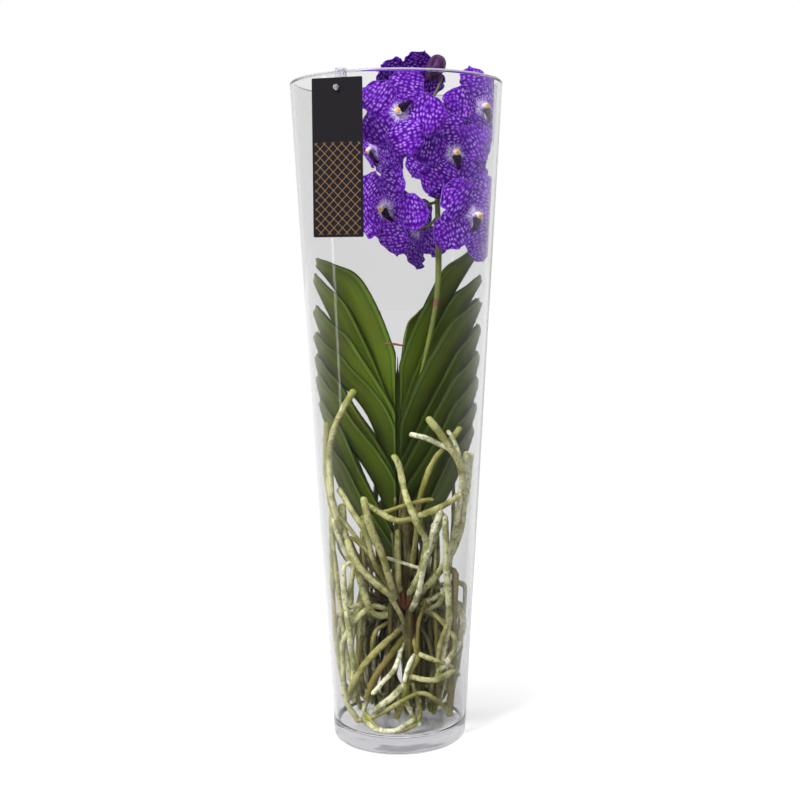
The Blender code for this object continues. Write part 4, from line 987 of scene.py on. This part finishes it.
def stalk_skin(name, dark, light, accent, ring=None):
    # Smooth living or dried stalk: faint lengthwise fibres, drawn 1.1 mm wide so that they
    # show, spots about 6 mm apart and, on the living one, a scarred ring
    material, tree, shader = new_material(name, Roughness=0.45)
    where = add(tree, "ShaderNodeTexCoord")
    stretch = add(tree, "ShaderNodeMapping", links={
        "Vector": where.outputs["Object"], "Scale": (1.0, 1.0, 0.06)})
    fibres = add(tree, "ShaderNodeTexNoise", links={
        "Vector": stretch.outputs["Vector"], "Scale": 1 / (1.11 * MM), "Detail": 2.0})
    base = add(tree, "ShaderNodeMix", {"data_type": "RGBA"}, {
        0: fibres.outputs["Fac"], 6: linear(dark), 7: linear(light)})
    spots = add(tree, "ShaderNodeTexNoise", links={
        "Vector": where.outputs["Object"], "Scale": 1 / (6.25 * MM), "Detail": 3.0})
    colour = layer(tree, base.outputs[2], accent, spots.outputs["Fac"], 0.58, 0.72, 0.7, False)
    if ring:
        split = add(tree, "ShaderNodeSeparateXYZ", links={"Vector": where.outputs["Object"]})
        near = add(tree, "ShaderNodeMath", {"operation": "COMPARE"}, {
            0: split.outputs["Z"], 1: ring, 2: STALK_RING_HALF})
        scarred = add(tree, "ShaderNodeMix", {"data_type": "RGBA"}, {
            0: near.outputs[0], 6: colour, 7: linear("#7c4638")})
        colour = scarred.outputs[2]
    dress(tree, shader, colour, fibres.outputs["Fac"], 0.3, 0.2 * MM)
    return material


def root_skin(name, inner_shade):
    # Aerial root: dry spongy silver-green sleeve, olive where damp, with brown scars; towards the
    # middle of the tangle the roots are painted a darker brown as shade, by the share given as
    # inner_shade
    material, tree, shader = new_material(name, Roughness=0.8, Specular_IOR_Level=0.1)
    # The kind attribute is each root's own draw, and along runs to 1 at its tip
    kind = add(tree, "ShaderNodeAttribute", {"attribute_name": "kind"})
    along = add(tree, "ShaderNodeAttribute", {"attribute_name": "along"})
    where = add(tree, "ShaderNodeTexCoord")
    # Patches are about 18 mm wide, flecks 5 mm and specks 2.6 mm
    patches, flecks, specks = [
        add(tree, "ShaderNodeTexNoise", links={
            "Vector": where.outputs["Object"], "Scale": 1 / (size * MM), "Detail": detail,
            "Roughness": roughness})
        for size, detail, roughness in ((18.2, 3.0, 0.6), (5.26, 2.0, 0.65), (2.63, 3.0, 0.6))]
    sleeve = add(tree, "ShaderNodeMix", {"data_type": "RGBA"}, {
        0: kind.outputs["Fac"], 6: linear("#c8c795"), 7: linear("#80762e")})
    # A few roots are dead and brown, and a few bleached
    colour = layer(tree, sleeve.outputs[2], "#6f5e3a", kind.outputs["Fac"], 0.84, 0.9, 0.7)
    colour = layer(tree, colour, "#e0e1c6", kind.outputs["Fac"], 0.2, 0.1, 0.8)
    # Olive patches, finer olive flecks and dark brown specks
    colour = layer(tree, colour, "#5f6118", patches.outputs["Fac"], 0.44, 0.62, 0.7)
    colour = layer(tree, colour, "#74782c", flecks.outputs["Fac"], 0.48, 0.66, 0.55)
    colour = layer(tree, colour, "#3f3216", specks.outputs["Fac"], 0.56, 0.7, 0.75)
    # Distance from the vase's axis against the glass's radius there
    split = add(tree, "ShaderNodeSeparateXYZ", links={"Vector": where.outputs["Object"]})
    level = add(tree, "ShaderNodeMapping", links={
        "Vector": where.outputs["Object"], "Scale": (1.0, 1.0, 0.0)})
    reach = add(tree, "ShaderNodeVectorMath", {"operation": "LENGTH"}, {
        0: level.outputs["Vector"]})
    glass = add(tree, "ShaderNodeMapRange", {"clamp": False}, {
        "Value": split.outputs["Z"], "From Max": VASE_HEIGHT, "To Min": VASE_FOOT_RADIUS,
        "To Max": VASE_RIM_RADIUS})
    outward = add(tree, "ShaderNodeMath", {"operation": "DIVIDE"}, {
        0: reach.outputs["Value"], 1: glass.outputs["Result"]})
    # Painted shade: darker brown towards the vase's axis, where the tangle shades itself
    colour = layer(tree, colour, "#332a14", outward.outputs[0], 0.72, 0.34, inner_shade)
    # The last few millimetres are a fresh green tip
    colour = layer(tree, colour, "#8f9a3c", along.outputs["Fac"], 0.94, 1.0, 0.5)
    dress(tree, shader, colour, flecks.outputs["Fac"], 0.7, 1.0 * MM)
    return material


def crown_skin():
    # Root crown: dead red-brown bark, dry, in fibres about 3 mm wide
    material, tree, shader = new_material("dry_brown_crown", Roughness=0.9,
                                          Specular_IOR_Level=0.1)
    where = add(tree, "ShaderNodeTexCoord")
    fibres = add(tree, "ShaderNodeTexNoise", links={
        "Vector": where.outputs["Object"], "Scale": 1 / (3.125 * MM), "Detail": 4.0,
        "Roughness": 0.7})
    bark = add(tree, "ShaderNodeMix", {"data_type": "RGBA"}, {
        0: fibres.outputs["Fac"], 6: linear("#1c0b08"), 7: linear("#6b3d28")})
    dress(tree, shader, bark.outputs[2], fibres.outputs["Fac"], 0.9, 1.2 * MM)
    return material


# Pieces

def ring_points(profile, sides):
    """A ring of points round the Z axis for each (radius, height) of a profile."""
    angles = [2 * math.pi * side / sides for side in range(sides)]
    return [Vector((radius * math.cos(angle), radius * math.sin(angle), height))
            for radius, height in profile for angle in angles]


def turned(profile, sides):
    """A closed body turned round the Z axis from a profile that starts and ends on it."""
    points = [Vector((0, 0, profile[0][1])), Vector((0, 0, profile[-1][1]))]
    points += ring_points(profile[1:-1], sides)
    rings = len(profile) - 2
    last = 2 + (rings - 1) * sides
    faces = []
    for side in range(sides):
        following = (side + 1) % sides
        faces.append((0, 2 + following, 2 + side))
        for k in range(rings - 1):
            a, b = 2 + k * sides + side, 2 + k * sides + following
            faces.append((a, b, b + sides, a + sides))
        faces.append((1, last + side, last + following))
    return points, faces


def turned_ring(section, sides):
    """A closed ring turned round the Z axis from a section that stays clear of it."""
    faces = []
    for k in range(len(section)):
        following_ring = (k + 1) % len(section)
        for side in range(sides):
            following = (side + 1) % sides
            faces.append((k * sides + side, k * sides + following,
                          following_ring * sides + following, following_ring * sides + side))
    return ring_points(section, sides), faces


def arc(centre, radius, start, end, steps):
    """Profile points on an arc, from one angle to another in degrees."""
    result = []
    for k in range(steps + 1):
        angle = math.radians(start + (end - start) * k / steps)
        result.append((centre[0] + radius * math.cos(angle), centre[1] + radius * math.sin(angle)))
    return result


def make_vase():
    """The vase, and the flame-polished ring on its rim, a hair clear of it."""
    def outer(height):
        return glass_inner_radius(height) + VASE_WALL

    foot, lip = VASE_FOOT_ROUND, VASE_WALL / 2
    # A ring just inside each end of a flat stretch keeps its shading flat
    hold = 1.5 * MM
    profile = [(0, 0), (outer(foot) - foot - hold, 0)]
    profile += arc((outer(foot) - foot, foot), foot, -90, 0, 8)
    shoulder = VASE_HEIGHT - lip
    profile += [(outer(height), height) for height in (foot + hold, shoulder - hold, shoulder)]
    profile += [(glass_inner_radius(height), height)
                for height in (shoulder, shoulder - hold, VASE_FLOOR + foot + hold)]
    inner_foot = glass_inner_radius(VASE_FLOOR + foot) - foot
    profile += arc((inner_foot, VASE_FLOOR + foot), foot, 0, -90, 8)
    profile += [(inner_foot - hold, VASE_FLOOR), (0, VASE_FLOOR)]
    section = arc((outer(VASE_HEIGHT) - lip, shoulder + RIM_SEAM), lip, 0, 180, 10)
    for name, (points, faces), skin, replaced in (
            ("glass_vase", turned(profile, VASE_SIDES), clear_glass(), ["vase"]),
            ("vase_rim", turned_ring(section, VASE_SIDES), polished_rim(), [])):
        mesh = bpy.data.meshes.new(name)
        mesh.from_pydata(points, [], faces)
        mesh.shade_smooth()
        mesh.materials.append(skin)
        # The lamps' light passes the glass without noisy caustics
        settle(name, mesh, "clear_glass", *replaced).visible_shadow = False


def make_tag():
    """The card, with softened corners and a punched hole, and its place in metres as UV."""
    width, thickness, height = TAG_SIZE
    outline = []
    for cx, cz, start in ((1, 1, 0), (-1, 1, 90), (-1, -1, 180), (1, -1, 270)):
        centre = (cx * (width / 2 - TAG_CORNER), cz * (height / 2 - TAG_CORNER))
        outline += arc(centre, TAG_CORNER, start, start + 90, 6)
    hole = (0.0, height / 2 - TAG_HOLE_DROP)
    ring = []
    for x, z in outline:
        angle = math.atan2(z - hole[1], x - hole[0])
        ring.append((hole[0] + TAG_HOLE_RADIUS * math.cos(angle),
                     hole[1] + TAG_HOLE_RADIUS * math.sin(angle)))
    across = Vector((math.cos(TAG_TURN), math.sin(TAG_TURN), 0))
    through = Vector((-math.sin(TAG_TURN), math.cos(TAG_TURN), 0))
    shape = Shape()
    count = len(outline)
    # Front and back, half the card's thickness to each side of its middle
    for side in (-0.5, 0.5):
        for x, z in outline + ring:
            on_card = across * x + UP * z + through * side * thickness
            shape.points.append(Vector(TAG_CENTRE) + on_card)
            shape.places.append((x, z))
            shape.tints.append(0.0)
    for k in range(count):
        a, b = k, (k + 1) % count
        inner_a, inner_b = count + a, count + b
        back = 2 * count
        shape.faces.append((inner_a, inner_b, b, a))
        shape.faces.append((back + a, back + b, back + inner_b, back + inner_a))
        shape.faces.append((a, b, back + b, back + a))
        shape.faces.append((inner_b, inner_a, back + inner_a, back + inner_b))
    shape.finish("hang_tag", printed_card(), "tag_card", "tag_card").data.shade_flat()


def make_leaves(chance, skin):
    """Both rows of leaves, each with its own tone, sway and bitten tip."""
    for side, word, leaves in ((-1, "left", LEFT_LEAVES), (1, "right", RIGHT_LEAVES)):
        for number, leaf in enumerate(leaves, start=1):
            bumps = [chance.uniform(-1.6, 1.6) * MM for _ in range(9)]
            # The lowest leaves are the oldest and the darkest
            tone = 0.66 - 0.06 * number + (0.26 if side > 0 else 0) + chance.uniform(-0.2, 0.2)
            tone = min(max(tone, 0), 1)
            sway = (chance.uniform(0, 6.28), chance.uniform(5, 8))

            def surface(share, across):
                point = leaf_surface(leaf, side, share, across, bumps, sway)
                return point, (across, share), tone

            shape = Shape()
            shape.add_blade(LEAF_ROWS, LEAF_COLUMNS, surface, LEAF_THICKNESS)
            node = f"leaf_{word}_{number}"
            shape.finish(f"{node}_blade", skin, "leaf", node)


def make_young_leaf(skin):
    """The rolled youngest leaf, round and upright, that ends the stem."""
    rows, sides = 40, 20
    points, radii = [], []
    for k in range(rows):
        share = k / (rows - 1)
        height = YOUNG_LEAF_BASE + (YOUNG_LEAF_TIP - YOUNG_LEAF_BASE) * share
        closing = 1 - smoothstep(0.8, 1.0, share)
        radius = max(stem_radius(min(height, STEM_TOP)) * closing, YOUNG_LEAF_POINT)
        points.append(Vector((0, 0, height)))
        radii.append(radius + YOUNG_LEAF_SWELL * smoothstep(0.55, 0.8, share) * closing)
    shape = Shape()
    shape.add_lump(points, radii, sides, [1.0] * rows)
    shape.finish("young_leaf", skin, "leaf", "stem")


def make_blooms(chance, fine):
    """The blooms; each draws from chance what the solids share, and the rest from fine."""
    skin = petal_skin()
    lip = lip_skin()
    for number, bloom in enumerate(BLOOMS, start=1):
        shape = Shape()
        for tepal in TEPALS:
            waves = (chance.uniform(0, 6.28), chance.uniform(1.6, 2.4))
            habit = petal_habit(fine)
            shift = fine.uniform(0, 1)

            def surface(along, over):
                # Rows crowd towards the rounded tip, and columns towards the edges
                share = TEPAL_END * math.sin(along * math.pi / 2) ** 1.15
                across = math.sin(over * math.pi / 2)
                reach = TEPAL_CLAW + (tepal.length * MM - TEPAL_CLAW) * share
                return (tepal_surface(bloom, tepal, waves, habit, share, across),
                        (across * tepal.width / 2 * MM + shift, reach),
                        max(abs(across), (share / TEPAL_END) ** 1.5))

            shape.add_blade(TEPAL_ROWS, TEPAL_COLUMNS, surface, TEPAL_THICKNESS * bloom.size)
        # The petals meet in a round hub, which takes the white of their feet
        hub = [place_in_bloom(bloom, 0, 0, HUB_DEPTH * depth)
               for depth in (-1.0, -0.8, -0.4, 0.0, 0.4, 0.8, 1.0)]
        radii = [HUB_RADIUS * bloom.size * share for share in (0.3, 0.6, 0.85, 0.9, 0.85, 0.6, 0.3)]
        start = len(shape.places)
        shape.add_lump(hub, radii, 20, [0.5] * len(hub))
        shape.places[start:] = [(0.0, 4 * MM)] * (len(shape.places) - start)
        shape.finish(f"bloom_{number}_tepals", skin, "petal", f"bloom_{number}")
        make_lip(number, bloom, lip)


def make_lip(number, bloom, skin):
    """A ridged, tapering lip below a stout column with a rounded cap."""
    def local(x, y, z):
        return place_in_bloom(bloom, x * MM, y * MM, z * MM)

    def tongue(share, across):
        half = 2.4 + 2.6 * math.sin(math.pi * min(share * 1.5, 1.0) ** 0.8) * (1 - 0.25 * share)
        half -= 1.5 * smoothstep(0.75, 1.0, share)
        z = 6.0 + 2.2 * math.sin(math.pi * share * 0.8) - 1.6 * across**2
        z += 0.8 * math.cos(4 * math.pi * across) * smoothstep(0.0, 0.3, share)
        z -= 2.2 * smoothstep(0.8, 1.0, share)
        return (local(across * half, LIP_START - LIP_LENGTH * share, z), (across, share),
                0.45 * (1 - smoothstep(0.0, 0.2, share)))

    scale = bloom.size * MM
    shape = Shape()
    column = [local(0, y, z) for y, z in
              ((0.6, 3.6), (0.8, 5.0), (0.8, 6.5), (0.6, 8.0), (0.4, 9.0), (0.2, 9.6), (0.1, 9.9))]
    radii = [radius * scale for radius in (4.2, 3.6, 3.3, 3.2, 2.7, 1.8, 0.6)]
    shape.add_lump(column, radii, 20, [1.0, 1.0, 1.0, 1.05, 1.5, 1.9, 2.0])
    for side in (-1, 1):
        lobe = [local(side * x, y, z) for x, y, z in
                ((2.6, 0.0, 4.6), (3.6, -0.4, 5.8), (4.4, -0.6, 7.2), (4.8, -0.4, 8.4))]
        radii = [radius * scale for radius in (1.5, 1.9, 1.6, 0.5)]
        shape.add_lump(lobe, radii, 14, [1.0, 0.9, 0.75, 0.6])
    shape.add_blade(LIP_ROWS, LIP_COLUMNS, tongue, LIP_THICKNESS * scale)
    shape.finish(f"bloom_{number}_lip", skin, "lip", f"lip_{number}")


def sleeve_tree():
    """Geometry nodes: a round sleeve along each strand, with small lumps, kept as real mesh.

    Each point keeps its strand's random kind and how far along the strand it is.
    """
    tree = bpy.data.node_groups.new("sleeve_along_strands", "GeometryNodeTree")
    sockets = (("Strands", "NodeSocketGeometry"), ("Sides", "NodeSocketInt"),
               ("Lump size", "NodeSocketFloat"), ("Lump height", "NodeSocketFloat"),
               ("Seed", "NodeSocketInt"), ("Skin", "NodeSocketMaterial"))
    for name, kind in sockets:
        tree.interface.new_socket(name, in_out="INPUT", socket_type=kind)
    tree.interface.new_socket("Sleeves", in_out="OUTPUT", socket_type="NodeSocketGeometry")
    given = add(tree, "NodeGroupInput")
    number = add(tree, "GeometryNodeInputIndex")
    strand = add(tree, "GeometryNodeFieldOnDomain", {"domain": "CURVE", "data_type": "INT"}, {
        0: number.outputs[0]})
    kind = add(tree, "FunctionNodeRandomValue", {"data_type": "FLOAT"}, {
        "ID": strand.outputs[0], "Seed": given.outputs["Seed"]})
    marked = add(tree, "GeometryNodeStoreNamedAttribute", {"data_type": "FLOAT"}, {
        "Geometry": given.outputs["Strands"], "Name": "kind", "Value": kind.outputs[1]})
    factor = add(tree, "GeometryNodeSplineParameter")
    measured = add(tree, "GeometryNodeStoreNamedAttribute", {"data_type": "FLOAT"}, {
        "Geometry": marked.outputs["Geometry"], "Name": "along",
        "Value": factor.outputs["Factor"]})
    thickness = add(tree, "GeometryNodeInputRadius")
    ring = add(tree, "GeometryNodeCurvePrimitiveCircle", links={
        "Resolution": given.outputs["Sides"], "Radius": 1.0})
    sleeve = add(tree, "GeometryNodeCurveToMesh", links={
        "Curve": measured.outputs["Geometry"], "Profile Curve": ring.outputs["Curve"],
        "Scale": thickness.outputs[0], "Fill Caps": True})
    place = add(tree, "GeometryNodeInputPosition")
    per_metre = add(tree, "ShaderNodeMath", {"operation": "DIVIDE"}, {
        0: 1.0, 1: given.outputs["Lump size"]})
    lumps = add(tree, "ShaderNodeTexNoise", links={
        "Vector": place.outputs[0], "Scale": per_metre.outputs[0], "Detail": 2.0})
    centred = add(tree, "ShaderNodeMath", {"operation": "SUBTRACT"}, {
        0: lumps.outputs["Fac"], 1: 0.5})
    height = add(tree, "ShaderNodeMath", {"operation": "MULTIPLY"}, {
        0: centred.outputs[0], 1: given.outputs["Lump height"]})
    normal = add(tree, "GeometryNodeInputNormal")
    push = add(tree, "ShaderNodeVectorMath", {"operation": "SCALE"}, {
        0: normal.outputs[0], "Scale": height.outputs[0]})
    lumpy = add(tree, "GeometryNodeSetPosition", links={
        "Geometry": sleeve.outputs["Mesh"], "Offset": push.outputs["Vector"]})
    smooth = add(tree, "GeometryNodeSetShadeSmooth", links={"Geometry": lumpy.outputs["Geometry"]})
    real = add(tree, "GeometryNodeRealizeInstances", links={
        "Geometry": smooth.outputs["Geometry"]})
    skin = add(tree, "GeometryNodeSetMaterial", links={
        "Geometry": real.outputs["Geometry"], "Material": given.outputs["Skin"]})
    add(tree, "NodeGroupOutput", links={"Sleeves": skin.outputs["Geometry"]})
    return tree


def sleeved(name, strands, tree, settings, slot, *replaced):
    """A mesh piece made by the sleeve tree from strands of (point, radius) pairs."""
    curve = bpy.data.curves.new(name + "_strands", "CURVE")
    curve.dimensions = "3D"
    for strand in strands:
        spline = curve.splines.new("POLY")
        spline.points.add(len(strand) - 1)
        for target, (point, radius) in zip(spline.points, strand):
            target.co = (*point, 1.0)
            target.radius = radius
    source = bpy.data.objects.new(name + "_strands", curve)
    bpy.context.scene.collection.objects.link(source)
    modifier = source.modifiers.new("sleeves", "NODES")
    modifier.node_group = tree
    for item in tree.interface.items_tree:
        if item.in_out == "INPUT" and item.name in settings:
            modifier[item.identifier] = settings[item.name]
    source.update_tag()
    bpy.context.view_layer.update()
    evaluated = source.evaluated_get(bpy.context.evaluated_depsgraph_get())
    mesh = bpy.data.meshes.new_from_object(evaluated)
    mesh.name = name
    bpy.data.objects.remove(source, do_unlink=True)
    bpy.data.curves.remove(curve)
    return settle(name, mesh, slot, *replaced)


def blunt_strand(points, radius, chance, wander):
    """Radii for a strand that swells and thins a little and ends in a rounded tip."""
    phase = chance.uniform(0, 6.28)
    pairs = []
    for k, point in enumerate(points):
        swell = 1 + wander * math.sin(phase + k * 0.55) + wander * math.sin(2.3 * phase + k * 0.21)
        pairs.append((point, radius * swell))
    end, before = points[-1], points[-2]
    ahead = (end - before).normalized()
    last = pairs[-1][1]
    for forward, share in ((0.4, 0.93), (0.75, 0.7), (0.93, 0.4), (1.0, 0.12)):
        pairs.append((end + ahead * last * forward, last * share))
    return pairs


def fine_root_route(chance, number):
    """A fairly straight root: down inside the glass, or up beside the leaves."""
    angle = math.radians(chance.uniform(-75, 80) if number % 3 else chance.uniform(95, 260))
    radius = chance.uniform(1.5, 2.8)
    if number % 4:
        top = chance.uniform(105, 190)
        heights = (0.5 * (150 + top), top, 0.6 * top + 18, 0.3 * top + 22, chance.uniform(24, 60))
    else:
        top = chance.uniform(205, 290)
        heights = (160, 0.55 * (160 + 0.3 * top), 0.75 * top, 0.9 * top, top)
    spread = chance.uniform(0.55, 1.0) if number % 2 else chance.uniform(0.3, 0.65)
    if math.sin(angle) < -0.55:
        # None hides the front roots
        spread *= 0.5
    reach = [spread * share for share in (0.5, 0.78, 0.92, 0.94, chance.uniform(0.75, 0.95))]
    route = [Vector((5, -6, chance.uniform(120, 168)))]
    for height, share in zip(heights, reach):
        turn = angle + math.radians(chance.uniform(-11, 11))
        route.append(toward_glass(turn, height, share, radius + 2))
    return radius, route


def root_strands(routes, spacing, fine):
    """Strands along routes from the crown, kept inside the vase."""
    strands = []
    for radius, route in routes:
        points = even_route(start_on_crown(route), spacing)
        points = [inside_vase(point, radius * MM) for point in points]
        strands.append(blunt_strand(points, radius * MM, fine, 0.07))
    return strands


def make_roots(chance, fine, tree):
    """The larger roots, as the solids have them, the thinner ones between them, and the crown."""
    routes = [(root[0], [Vector(point) for point in root[1:]]) for root in FRONT_ROOTS]
    routes += [wall_root_route(chance, number) for number in range(WALL_ROOTS)]
    routes += [floor_root_route(chance, number) for number in range(FLOOR_ROOTS)]
    fillers = [fine_root_route(fine, number) for number in range(FINE_ROOTS)]
    settings = {"Sides": 11, "Lump size": 8 * MM, "Lump height": 1.8 * MM,
                "Seed": ROOT_TONE_SEED, "Skin": root_skin("dry_root_sleeve", 0.2)}
    strands = root_strands(routes, 4.2 * MM, fine)
    sleeved("aerial_roots", strands, tree, settings, "root", "roots")
    # The thinner roots between get the most painted shade towards the axis
    settings.update({"Sides": 9, "Seed": 6, "Skin": root_skin("shaded_filler_root_sleeve", 0.85)})
    sleeved("filler_roots", root_strands(fillers, 5.5 * MM, fine), tree, settings, "root")
    crown = even_route(CROWN_ROUTE, 3 * MM)
    pairs = []
    for k, point in enumerate(crown):
        knots = 1 + 0.08 * math.sin(1.9 * k)
        pairs.append((point, between(CROWN_RADII, k / (len(crown) - 1)) * MM * knots))
    settings.update({"Sides": 20, "Lump size": 4 * MM, "Lump height": 4 * MM,
                     "Skin": crown_skin()})
    dried = [blunt_strand([in_metres(point) for point in route], radius * MM, fine, 0.2)
             for radius, *route in DRIED_ENDS]
    sleeved("root_crown", [pairs] + dried, tree, settings, "root")


def make_stalks(fine, tree):
    """The flower spike with a stalk to each bloom and to the bud, and the dry spent spike."""
    points = even_route(SPIKE_ROUTE, 3.0 * MM)
    last = len(points) - 1
    strands = [[(point, between(SPIKE_RADII, k / last) * MM) for k, point in enumerate(points)]]
    for bloom in BLOOMS:
        start = spike_point(bloom.stalk)
        behind = place_in_bloom(bloom, 0, 0, -12 * MM)
        bend = start.lerp(behind, 0.55) - UP * 3 * MM
        stalk = even_route([start / MM, bend / MM, behind / MM], 4 * MM)
        stalk.append(place_in_bloom(bloom, 0, 0, -HUB_DEPTH - 0.4 * MM))
        count = len(stalk) - 1
        strands.append([(point, PEDICEL_RADIUS * MM * (1 + 0.35 * k / count))
                        for k, point in enumerate(stalk)])
    strands.append([(point, BUD_STALK_RADIUS * MM) for point in even_route(BUD_STALK, 2 * MM)])
    settings = {"Sides": 16, "Lump size": 9 * MM, "Lump height": 0.35 * MM, "Seed": 4,
                "Skin": stalk_skin("green_flower_stalk", "#4a5a14", "#77852a", "#6b4a3a",
                                   STALK_RING)}
    sleeved("flower_stalks", strands, tree, settings, "flower_stalk", "flower_spike")
    ends = [in_metres(point) for point in STUB_ENDS]
    middle = (ends[0] + ends[1]) / 2 + Vector((0, 0, 0.6 * MM))
    rod = even_route([ends[0] / MM, middle / MM, ends[1] / MM], 1.5 * MM)
    strand = blunt_strand(rod, STUB_RADIUS * MM, fine, 0.05)
    settings = {"Sides": 14, "Lump size": 3 * MM, "Lump height": 0.3 * MM, "Seed": 4,
                "Skin": stalk_skin("dry_brown_stalk", "#5a2f26", "#8a5340", "#2f1a18")}
    sleeved("dry_stalk", [strand], tree, settings, "dry_stalk", "spent_spike")


def make_bud():
    """Closed petals folded over each other: blunt facets, one deep fold, a hanging point."""
    low, top = in_metres(BUD_LOW), in_metres(BUD_TOP)
    along = (top - low).normalized()
    across = along.orthogonal().normalized()
    other = along.cross(across)
    # The fold lies a little to the left of the side that faces the front
    fold_way = Vector((-0.35, -1, 0))
    fold_angle = math.atan2(fold_way.dot(other), fold_way.dot(across))
    rows, sides, facets = 30, 60, 5
    facet_width = 2 * math.pi / facets
    shape = Shape()
    for i in range(rows):
        share = i / (rows - 1)
        # Fullest a little above the middle, where the product comes to 0.503
        swell = share**0.55 * (1 - share) ** 0.45 / 0.503
        radius = BUD_RADIUS * max(swell, 0.06)
        hang = in_metres(BUD_HANG) * (1 - share) ** 2
        for side in range(sides):
            angle = 2 * math.pi * side / sides
            off = (angle + 0.7 * share) % facet_width - facet_width / 2
            facet = math.cos(facet_width / 2) / math.cos(off)
            turn = (angle - fold_angle - 0.5 * (share - 0.7) + math.pi) % (2 * math.pi) - math.pi
            fold = 0.2 * math.exp(-(turn / 0.16) ** 2) * smoothstep(0.3, 0.6, share)
            spoke = across * math.cos(angle) + other * math.sin(angle)
            reach = radius * (0.3 + 0.75 * facet - fold)
            shape.points.append(low.lerp(top, share) + hang + spoke * reach)
            shape.places.append((side / sides, share))
            shape.tints.append(share)
    shape.close_rings(0, rows, sides)
    shape.finish("closed_bud", bud_skin(), "bud", "bud")


def main():
    chance = random.Random(SEED)
    fine = random.Random(FINE_SEED)
    set_camera()
    set_floor()
    set_light()
    tree = sleeve_tree()
    make_vase()
    make_tag()
    clip_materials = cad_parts["tag_clip"].data.materials
    clip_materials.clear()
    clip_materials.append(clear_plastic())
    leaf_skin = waxy_leaf()
    make_leaves(random.Random(FINE_SEED), leaf_skin)
    make_young_leaf(leaf_skin)
    make_stalks(fine, tree)
    make_bud()
    make_blooms(chance, fine)
    make_roots(chance, fine, tree)


main()
